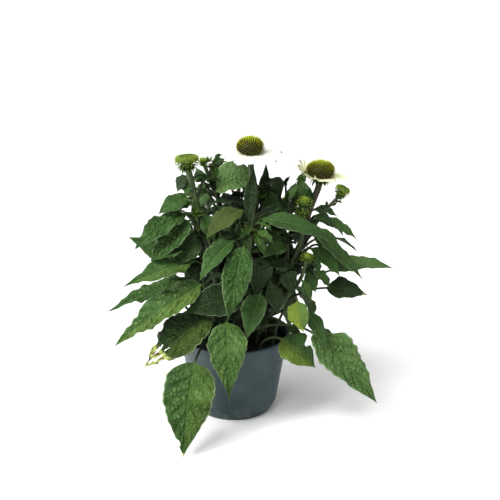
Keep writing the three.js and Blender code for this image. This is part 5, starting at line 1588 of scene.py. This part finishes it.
@dataclass
class FloretDome:
    """A cone of spines, or the flat disc of a head that hasn't opened."""

    name: str
    head: Head
    cone: Material
    scales: Material
    lift: float = 1.2
    spacing: float = 2.7  # between neighbouring spines
    spine_height: float = 3.5
    spine_radius: float = 0.85
    under: float = -0.5  # slope of the underside, in radians
    widest: float = 0.36  # height of the widest ring, as a share of the whole
    flat_spacing: float = 1.4  # between the small florets of a flat disc
    floret: Pair = (0.68, 1.5)  # their radius and height
    cushion: Pair = (0.32, 0.6)  # powers that flatten a disc's top and round its edge
    body_rows: int = 14
    usual_radius: float = 15.0  # of the disc that the bracts' sizes are meant for
    bracts: tuple[Row, ...] = (
        (24, 0.84, 0.3, -12, (3.4, 1.5, -0.5), 0.3), (21, 0.66, 0.22, -38, (4.6, 1.6, -0.5), 0.0),
        (17, 0.44, 0.1, -58, (5.2, 1.7, -0.2), -0.3), (11, 0.28, -0.08, -74, (5.6, 1.6, 0.2), -0.5),
    )

    def build(self) -> None:
        """Builds the head's piece."""
        axis = Vector(self.head.lean).normalized()
        frame = seated(self.head.at, axis)
        if self.head.petals:
            self.open_cone(frame @ Matrix.Translation((0, 0, self.lift)))
        else:
            self.flat_disc(frame)

    def profile(self, climb: float, shrink: float) -> Pair:
        """Returns the radius and height of the dome where it climbs at an angle, drawn in by a length."""
        if not self.head.petals:
            wide, tall = self.cushion
            middle = self.head.height * 0.62
            radius = (self.head.radius * 0.95 - shrink) * max(math.cos(climb), 0.0) ** wide
            high = math.copysign(abs(math.sin(climb)) ** tall, climb)
            return radius, middle + high * (self.head.height - middle - shrink)
        middle = self.head.height * self.widest
        high = math.sin(climb) * (middle * 1.9 if climb < 0 else self.head.height - middle - shrink)
        return (self.head.radius - shrink) * math.cos(climb), middle + high

    def body(self, shrink: float) -> list[Pair]:
        """Returns the height and radius of each ring of the dome, drawn in by a length."""
        last = self.body_rows - 1
        rings = (self.profile(lerp(self.under, math.pi / 2, row / last), shrink) for row in range(last + 1))
        return [(height, radius) for radius, height in rings]

    def open_cone(self, frame: Matrix) -> None:
        """Builds a dome of spines in crossing spirals."""
        skin = Skin()
        shrink, last = self.spine_height * 0.75, self.body_rows - 1
        skin.turned(frame, [(*ring, row / last) for row, ring in enumerate(self.body(shrink))], around=40)
        rng = random.Random(self.name)
        for climb, turn in self.spiral(self.spacing):
            out = polar(turn, math.cos(climb), math.sin(climb) + 0.25)
            spot = polar(turn, *self.profile(climb, shrink))
            place = frame @ seated(spot, out.normalized()) @ Matrix.Translation((0, 0, -0.5))
            height = self.spine_height * rng.uniform(0.88, 1.08) * lerp(1, 0.72, smooth(1.0, 1.5, climb))
            made = skin.spine(height, self.spine_radius, 0.3)
            high, look = max(climb, 0) / (math.pi / 2), (rng.uniform(-0.4, 0.4), 0, 0)
            for vert in made:
                share = vert.co.z / height + 0.5
                vert.co.z += height / 2
                skin.mark(vert, (share, high, 0), PLAIN, look)
            bmesh.ops.transform(skin.mesh, matrix=place, verts=made)
        skin.piece(self.name, [self.name], self.cone)

    def spiral(self, spacing: float) -> list[tuple[float, float]]:
        """Returns the climbs and turns of evenly spread places on the dome."""
        fine = [lerp(self.under * 0.7, math.pi / 2, i / 300) for i in range(301)]
        rings = [self.profile(climb, self.spine_height * 0.4) for climb in fine]
        areas = [0.0]
        for (r, h), (q, g) in zip(rings, rings[1:]):
            areas.append(areas[-1] + math.pi * (r + q) * math.hypot(r - q, h - g))
        count = round(areas[-1] / (spacing * spacing * 0.87))
        found, k = [], 0
        for i in range(count):
            goal = areas[-1] * (i + 0.5) / count
            while areas[k + 1] < goal:
                k += 1
            found.append((lerp(fine[k], fine[k + 1], (goal - areas[k]) / (areas[k + 1] - areas[k])), i * GOLDEN))
        return found

    def flat_disc(self, frame: Matrix) -> None:
        """Builds a cushion of small florets over rings of short bracts."""
        skin = Skin()
        r, h = self.head.radius, self.head.height
        radius, tall = self.floret
        rings = [(0.0, 0.24 * r), (0.16 * h, 0.42 * r), (0.3 * h, 0.68 * r), *self.body(tall * 0.6)]
        skin.turned(frame, [(*ring, 0.1) for ring in rings], around=36)
        rng = random.Random(self.name)
        for climb, turn in self.spiral(self.flat_spacing):
            wide, high = self.profile(climb, tall * 0.6)
            lean = 0.25 + 0.75 * smooth(0.75, 1.0, wide / (0.95 * r))
            out = polar(turn, lean, 1.2 * math.sin(climb) + 0.1).normalized()
            look = (0.7 * smooth(0.45, 0.9, wide / r) + rng.uniform(-0.6, 0.2), 0, 0)
            height = tall * rng.uniform(0.85, 1.15)
            made = skin.spine(height, radius, 0.5)
            for vert in made:
                skin.mark(vert, (0, 0.42 + 0.5 * vert.co.z / height, 0), PLAIN, look)
            bmesh.ops.transform(skin.mesh, matrix=frame @ seated(polar(turn, wide, high), out), verts=made)
        size = r / self.usual_radius
        whorls(skin, frame, self.bracts, r, h, (size, max(size, 0.8)), rng)
        skin.piece(self.name, [self.name], self.scales)


@dataclass
class RayRing:
    """The white rays round an open head; some may still be short, narrow and curled."""

    name: str
    head: Head
    finish: Material
    width: float = 12.4
    thick: float = 0.42
    foot: float = 0.45  # where a ray starts, as a share of the cone's radius
    shorter: float = 0.94
    curl: float = 1.6
    worn: int = 0  # every fourth ray has a tip painted dark as shade: the first of them
    roll: float = 0.7  # radians by which a young ray turns its face outwards
    apart: float = 0.27  # how far two young rays stand from the middle of their place, in steps
    cream: float = 0.8  # how creamy the rays of a half-open head are
    tip_shade: float = 0.9  # how dark a shaded tip is painted
    raised: float = 0.36  # how far every second ray is raised over its neighbours
    young_raised: float = 0.4
    young_width: float = 1.2  # a young ray's width before its point narrows it
    folds: float = 0.22  # height of a ray's lengthwise folds, as a share of its width
    dents: float = 0.03  # depth of the dents in its tip, as a share of its reach
    rows: int = 26
    across: int = 10

    def build(self) -> None:
        """Builds the ring."""
        skin = Skin()
        frame = seated(self.head.at, Vector(self.head.lean).normalized())
        rng = random.Random(self.name)
        for k in range(self.head.petals):
            degrees = 360 * (k + 0.5) / self.head.petals
            self.ray(skin, frame, k, degrees, rng)
        skin.piece(self.name, [self.name], self.finish)

    def ray(self, skin: Skin, frame: Matrix, k: int, degrees: float, rng: random.Random) -> None:
        """Adds one ray, or two narrow ones side by side where they are young."""
        head, young, short = self.head, self.head.young, self.head.short
        if young and young.start < degrees < young.end:
            step = 360 / head.petals
            for shift in (-self.apart, self.apart):
                reach = young.reach * rng.uniform(0.88, 1.04)
                back = smooth(230, 130, degrees + step * shift)
                rise = young.rise * lerp(0.7, 1.7, back) * rng.uniform(0.9, 1.1)
                turn, width = math.radians(degrees + step * shift), self.width * young.width * self.young_width
                self.blade(skin, frame, turn, reach, width, -rise, self.young_raised, (0, self.cream, 1.0), rng)
            return
        reach, width = head.reach * (self.shorter if k % 3 == 1 else 1), self.width
        if short and short.start < degrees < short.end:
            reach, width = short.reach, self.width * short.width
        # Every fourth ray gets a tip painted dark as shade.
        look = (self.tip_shade if k % 4 == self.worn else 0.0, self.cream if young else 0.0, 0.0)
        turn, lift = math.radians(degrees), self.raised * (k % 2)
        self.blade(skin, frame, turn, reach, width, head.droop + k % 2, lift, look, rng)

    def blade(
        self, skin: Skin, frame: Matrix, turn: float, reach: float, width: float, fall: float, lift: float,
        look: Triple, rng: random.Random,
    ) -> None:
        """Adds one ray.

        Args:
            skin: The skin that it goes into.
            frame: The head's transform.
            turn: The ray's direction round the head, in radians.
            reach: How far its tip is from the axis.
            width: Its greatest width.
            fall: How far its tip falls.
            lift: How far it is raised over its neighbours.
            look: How dark its tip is painted as shade, how creamy it is and how curled.
            rng: The source of its unevenness.
        """
        radius, foot = self.head.radius, self.head.radius * self.foot
        twist, bow, seed = rng.uniform(-0.05, 0.05), rng.uniform(-1.2, 1.2), rng.uniform(0, 50)
        turned = frame @ Matrix.Rotation(turn, 4, "Z")
        pointed = look[2] > 0

        def point(j: int, row: int) -> Mark:
            """Returns one point of the ray."""
            s = row / (self.rows - 1)
            upper = j <= self.across
            i = j if upper else 2 * self.across - j
            a = 2 * i / self.across - 1
            wide = 0.32 + 0.68 * smooth(0.0, 0.55, s)
            if pointed:
                wide *= max(1 - s**2.4, 0.04)
                tip = reach
            else:
                wide *= math.sqrt(max(1 - max((s - 0.72) / 0.28, 0) ** 2.6, 0.03))
                tip = reach * (1 - self.dents * (1 - abs(math.cos(1.5 * math.pi * a))))
            r = lerp(foot, tip, s)
            share = max(0.0, (r - radius) / (reach - radius))
            z = self.thick + lift - fall * share**self.curl - 0.35 * a * a * wide
            z += self.folds * wide * math.cos(3 * math.pi * a) + 0.5 * share * noise.noise(Vector((s * 4, a, seed)))
            z += width * 0.5 * a * twist * 4 * share
            if pointed:
                z += 1.5 * a * a * wide + 1.6 * math.sin(math.pi * share) - 3.5 * smooth(0.75, 1.0, share) ** 2
            z += (self.thick / 2 if upper else -self.thick / 2) * math.sqrt(max(1 - a**4, 0))
            y = a * wide * width / 2 + bow * share**2
            if pointed:
                z -= y * math.sin(self.roll) * min(1.0, 2 * share)
                y *= lerp(1.0, math.cos(self.roll), min(1.0, 2 * share))
            # A young ray's curled tip goes brown, and a shaded tip gets painted shade.
            darkened_tip = look[2] * smooth(0.7, 0.9, s) + look[0] * smooth(0.9, 0.97, s)
            return turned @ Vector((r, y, z)), (a, s, 1.0 if upper else -1.0), (0, 0, 0), (0, look[1], darkened_tip)

        skin.wrap(self.rows, 2 * self.across, point)


# ---------------------------------------------------------------- pot and soil


@dataclass
class Pot:
    """The tapered nursery pot: a thin shell with a rounded rim, a chamfered foot and drain holes."""

    height: float = 100.0
    rim_radius: float = 70.0
    lip: float = 2.2
    lip_height: float = 5.0
    foot_height: float = 12.0
    foot_radius: float = 53.0
    base_radius: float = 46.0
    wall: float = 1.8
    floor: float = 2.4
    steps: int = 120
    drains: int = 6
    drain_radius: float = 4.5
    drain_circle: float = 31.0

    def radius_at(self, height: float) -> float:
        """Returns the outer wall's radius at a height."""
        share = (height - self.foot_height) / (self.height - self.foot_height)
        return lerp(self.foot_radius, self.rim_radius - self.lip, share)

    def section(self) -> list[Pair]:
        """Returns half of the shell's section, from the middle of the underside round to the middle of the floor."""
        under = self.height - self.lip_height
        rim = self.rim_radius
        inner = rim - self.lip - self.wall
        return [
            (0.0, 0.8), (38.0, 0.8), (39.0, 0.0), (self.base_radius - 0.6, 0.0), (self.base_radius, 0.5),
            (self.base_radius + 1.6, 2.6), (self.foot_radius - 0.4, self.foot_height - 0.8),
            (self.foot_radius + 0.1, self.foot_height + 0.4), (self.radius_at(50), 50.0),
            (self.radius_at(under - 0.8), under - 0.8), (self.radius_at(under) + 0.5, under),
            (rim - 0.9, under + 0.7), (rim - 0.3, under + 1.3), (rim, self.height - 1.0),
            (rim - 0.3, self.height - 0.3), (rim - 1.0, self.height), (inner + 1.2, self.height),
            (inner + 0.5, self.height - 0.5),
            (self.radius_at(under) - self.wall, under), (self.foot_radius - self.wall, self.foot_height),
            (self.base_radius - self.wall, self.floor), (0.0, self.floor),
        ]

    def build(self, finish: Material) -> None:
        """Spins the shell, then cuts its drain holes."""
        skin = Skin()
        spin_section(skin, self.section(), self.steps)
        made = skin.piece("nursery_pot", ["pot"], finish)
        cutter = self.cutter()
        cut = made.modifiers.new("drains", "BOOLEAN")
        cut.operation, cut.object, cut.solver = "DIFFERENCE", cutter, "EXACT"
        drilled = bpy.data.meshes.new_from_object(made.evaluated_get(bpy.context.evaluated_depsgraph_get()))
        made.modifiers.clear()
        made.data = drilled
        bpy.data.objects.remove(cutter)
        made.data.set_sharp_from_angle(angle=math.radians(40))

    def cutter(self) -> bpy.types.Object:
        """Returns the rods that cut the drain holes."""
        rods = bmesh.new()
        for k in range(self.drains):
            turn = FULL_TURN * (k + 0.5) / self.drains
            spot = Vector((math.cos(turn), math.sin(turn), 0)) * self.drain_circle * MM
            bmesh.ops.create_cone(
                rods, cap_ends=True, segments=24, radius1=self.drain_radius * MM, radius2=self.drain_radius * MM,
                depth=4 * self.floor * MM, matrix=Matrix.Translation(spot),
            )
        return placed("drain_rods", meshed("drain_rods", rods))


def spin_section(skin: Skin, section: Sequence[Pair], steps: int) -> None:
    """Spins a section of radii and heights round the z axis and closes its poles."""
    verts = [skin.mesh.verts.new((radius, 0, height)) for radius, height in section]
    edges = [skin.mesh.edges.new(pair) for pair in zip(verts, verts[1:])]
    bmesh.ops.spin(
        skin.mesh, geom=[*verts, *edges], cent=(0, 0, 0), axis=(0, 0, 1), angle=FULL_TURN, steps=steps, use_merge=True
    )
    bmesh.ops.remove_doubles(skin.mesh, verts=skin.mesh.verts, dist=WELD)


@dataclass
class Soil:
    """The potting soil: an uneven bed with loose crumbs and fibres on it."""

    relief: float = 1.5  # height of its unevenness
    floor: float = 2.8
    edge: float = 64.0
    rings: int = 26
    steps: int = 96
    crumbs: int = 620
    fibres: int = 70

    def build(self, finish: Material) -> None:
        """Builds the bed and what lies on it."""
        skin = Skin()
        section = [(0.0, self.floor), (43.5, self.floor), (50.5, 12.5), (self.edge, SOIL_TOP - 1.5)]
        section += [(self.edge * (1 - i / self.rings), SOIL_TOP) for i in range(self.rings + 1)]
        spin_section(skin, section, self.steps)
        for vert in skin.mesh.verts:
            if vert.co.z > SOIL_TOP - 2:
                vert.co.z += self.height(vert.co.x, vert.co.y)
        rng = random.Random(11)
        for _ in range(self.crumbs):
            self.crumb(skin, rng, rng.uniform(0.5, 1.9) ** 1.3, (1, rng.uniform(0.6, 1), rng.uniform(0.5, 0.9)))
        for _ in range(self.fibres):
            self.crumb(skin, rng, rng.uniform(1.2, 3.2), (1, 0.22, 0.16))
        skin.piece("soil_bed", ["soil"], finish)

    def height(self, x: float, y: float) -> float:
        """Returns how far the bed's surface stands above its mean at a place."""
        broad = noise.noise(Vector((x * 0.05, y * 0.05, 0.3)))
        fine = noise.noise(Vector((x * 0.21, y * 0.21, 4.1)))
        return self.relief * (0.8 * broad + 0.5 * fine)

    def crumb(self, skin: Skin, rng: random.Random, size: float, form: Triple) -> None:
        """Drops a crumb or a fibre on the bed."""
        radius, turn = self.edge * math.sqrt(rng.uniform(0, 0.96)), rng.uniform(0, FULL_TURN)
        x, y = radius * math.cos(turn), radius * math.sin(turn)
        made = bmesh.ops.create_icosphere(skin.mesh, subdivisions=1, radius=size)["verts"]
        tone = rng.choice((0.0, 0.2, 0.5, 1.0))
        for vert in made:
            vert.co *= rng.uniform(0.75, 1.2)
            skin.mark(vert, PLAIN, PLAIN, (tone, 0, 0))
        turned = Matrix.Rotation(rng.uniform(0, 6.28), 4, "Z") @ Matrix.Rotation(rng.uniform(-0.5, 0.5), 4, "Y")
        place = Matrix.Translation((x, y, SOIL_TOP + self.height(x, y) + size * form[2] * 0.45))
        bmesh.ops.transform(skin.mesh, matrix=place @ turned @ Matrix.Diagonal((*form, 1)), verts=made)


# ---------------------------------------------------------------- the studio


@dataclass
class Studio:
    """The pale floor, the soft lights and the camera."""

    lens: float = 74.52
    sensor: float = 36.0
    camera_at: Triple = (0.020, -1.200, 0.584)
    pitch: float = 72.5  # degrees from straight down
    floor_size: float = 40.0
    sky_power: float = 0.68
    sun_from: Triple = (-0.42, -0.62, 1.1)
    sun_power: float = 2.3
    sun_softness: float = 36.0  # degrees
    lamp_power: float = 18.0
    lamps: tuple[tuple[str, Triple, float], ...] = (  # name, place and size of each
        ("key_light", (-0.9, -0.8, 1.2), 0.4), ("side_light", (-1.35, -0.12, 0.45), 1.2),
    )
    plant_middle: Triple = (0.02, 0, 0.18)

    def build(self) -> None:
        """Sets up the whole studio."""
        self.floor()
        self.sky()
        self.sun()
        for name, at, size in self.lamps:
            self.lamp(name, at, size)
        self.camera()
        bpy.context.scene.view_settings.view_transform = "Standard"

    def floor(self) -> None:
        """Lays the floor."""
        mesh = bmesh.new()
        bmesh.ops.create_grid(mesh, x_segments=1, y_segments=1, size=self.floor_size)
        data = meshed("floor", mesh)
        data.materials.append(FloorFinish().material())
        made = placed("floor", data)

    def sky(self) -> None:
        """Fills the studio with even pale light."""
        world = bpy.data.worlds.new("studio")
        world.use_nodes = True
        back = world.node_tree.nodes["Background"]
        back.inputs["Color"].default_value = (1.0, 1.0, 1.0, 1.0)
        back.inputs["Strength"].default_value = self.sky_power
        bpy.context.scene.world = world

    def sun(self) -> None:
        """Adds the soft sun."""
        data = bpy.data.lights.new("sun_light", "SUN")
        data.energy, data.angle = self.sun_power, math.radians(self.sun_softness)
        placed("sun_light", data).rotation_euler = Vector(self.sun_from).to_track_quat("Z", "Y").to_euler()

    def lamp(self, name: str, at: Triple, size: float) -> None:
        """Hangs a soft square lamp that looks at the plant."""
        data = bpy.data.lights.new(name, "AREA")
        data.shape, data.size, data.energy = "SQUARE", size, self.lamp_power
        made = placed(name, data)
        made.location = at
        made.rotation_euler = (Vector(self.plant_middle) - Vector(at)).to_track_quat("-Z", "Y").to_euler()

    def camera(self) -> None:
        """Sets up the camera."""
        data = bpy.data.cameras.new("camera")
        data.lens, data.sensor_width = self.lens, self.sensor
        made = placed("camera", data)
        made.location = self.camera_at
        made.rotation_euler = (math.radians(self.pitch), 0, 0)
        bpy.context.scene.camera = made


# ---------------------------------------------------------------- the plant


def rear_leaf(spoke: Spoke) -> Leaf:
    """Returns the leaf that lies along a spoke behind the plant."""
    turn = math.radians(spoke.angle)

    def place(radius: float, height: float) -> Triple:
        """Returns the point of the spoke at a radius and a height."""
        return math.cos(turn) * radius, math.sin(turn) * radius, height

    return Leaf(
        0, place(84, 146), place(spoke.reach, spoke.tip_height), place(0.6, 0.8), spoke.width, arch=8, wave=2.5,
        shape=Outline.BROAD, root=place(50, 0)[:2], blister=0.7, tone=-0.1,
    )


def main() -> None:
    """Builds the plant, its pot and the studio."""
    logging.basicConfig(level=logging.INFO, format="%(name)s: %(message)s")
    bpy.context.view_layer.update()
    leaf = LeafFinish().material()
    yellowed = LeafFinish(name="yellowed_leaf_skin", green=(0.09, 0.16, 0.03)).material()
    bark, scales, cone = StemFinish().material(), ScaleFinish().material(), ConeFinish().material()
    Pot().build(PotFinish().material())
    Soil().build(SoilFinish().material())
    for name in STEMS:
        LeafyStem(name, leaf, bark, scales).build()
    basal = dict(BASAL_LEAVES)
    basal.update({f"leaf_rear_{k + 1}": rear_leaf(spoke) for k, spoke in enumerate(REAR_LEAVES)})
    for name, form in basal.items():
        skin = Skin()
        LeafBuilder(skin).basal(form)
        old = name == "leaf_yellow"
        skin.piece(f"{name}_blade", [name], yellowed if old else leaf)
    rays = RayFinish().material()
    for name, head in HEADS.items():
        FloretDome(f"{name}_cone" if head.petals else f"{name}_head", head, cone, scales).build()
        if head.petals:
            RayRing(f"{name}_rays", head, rays).build()
    Studio().build()


if __name__ == "__main__":
    main()
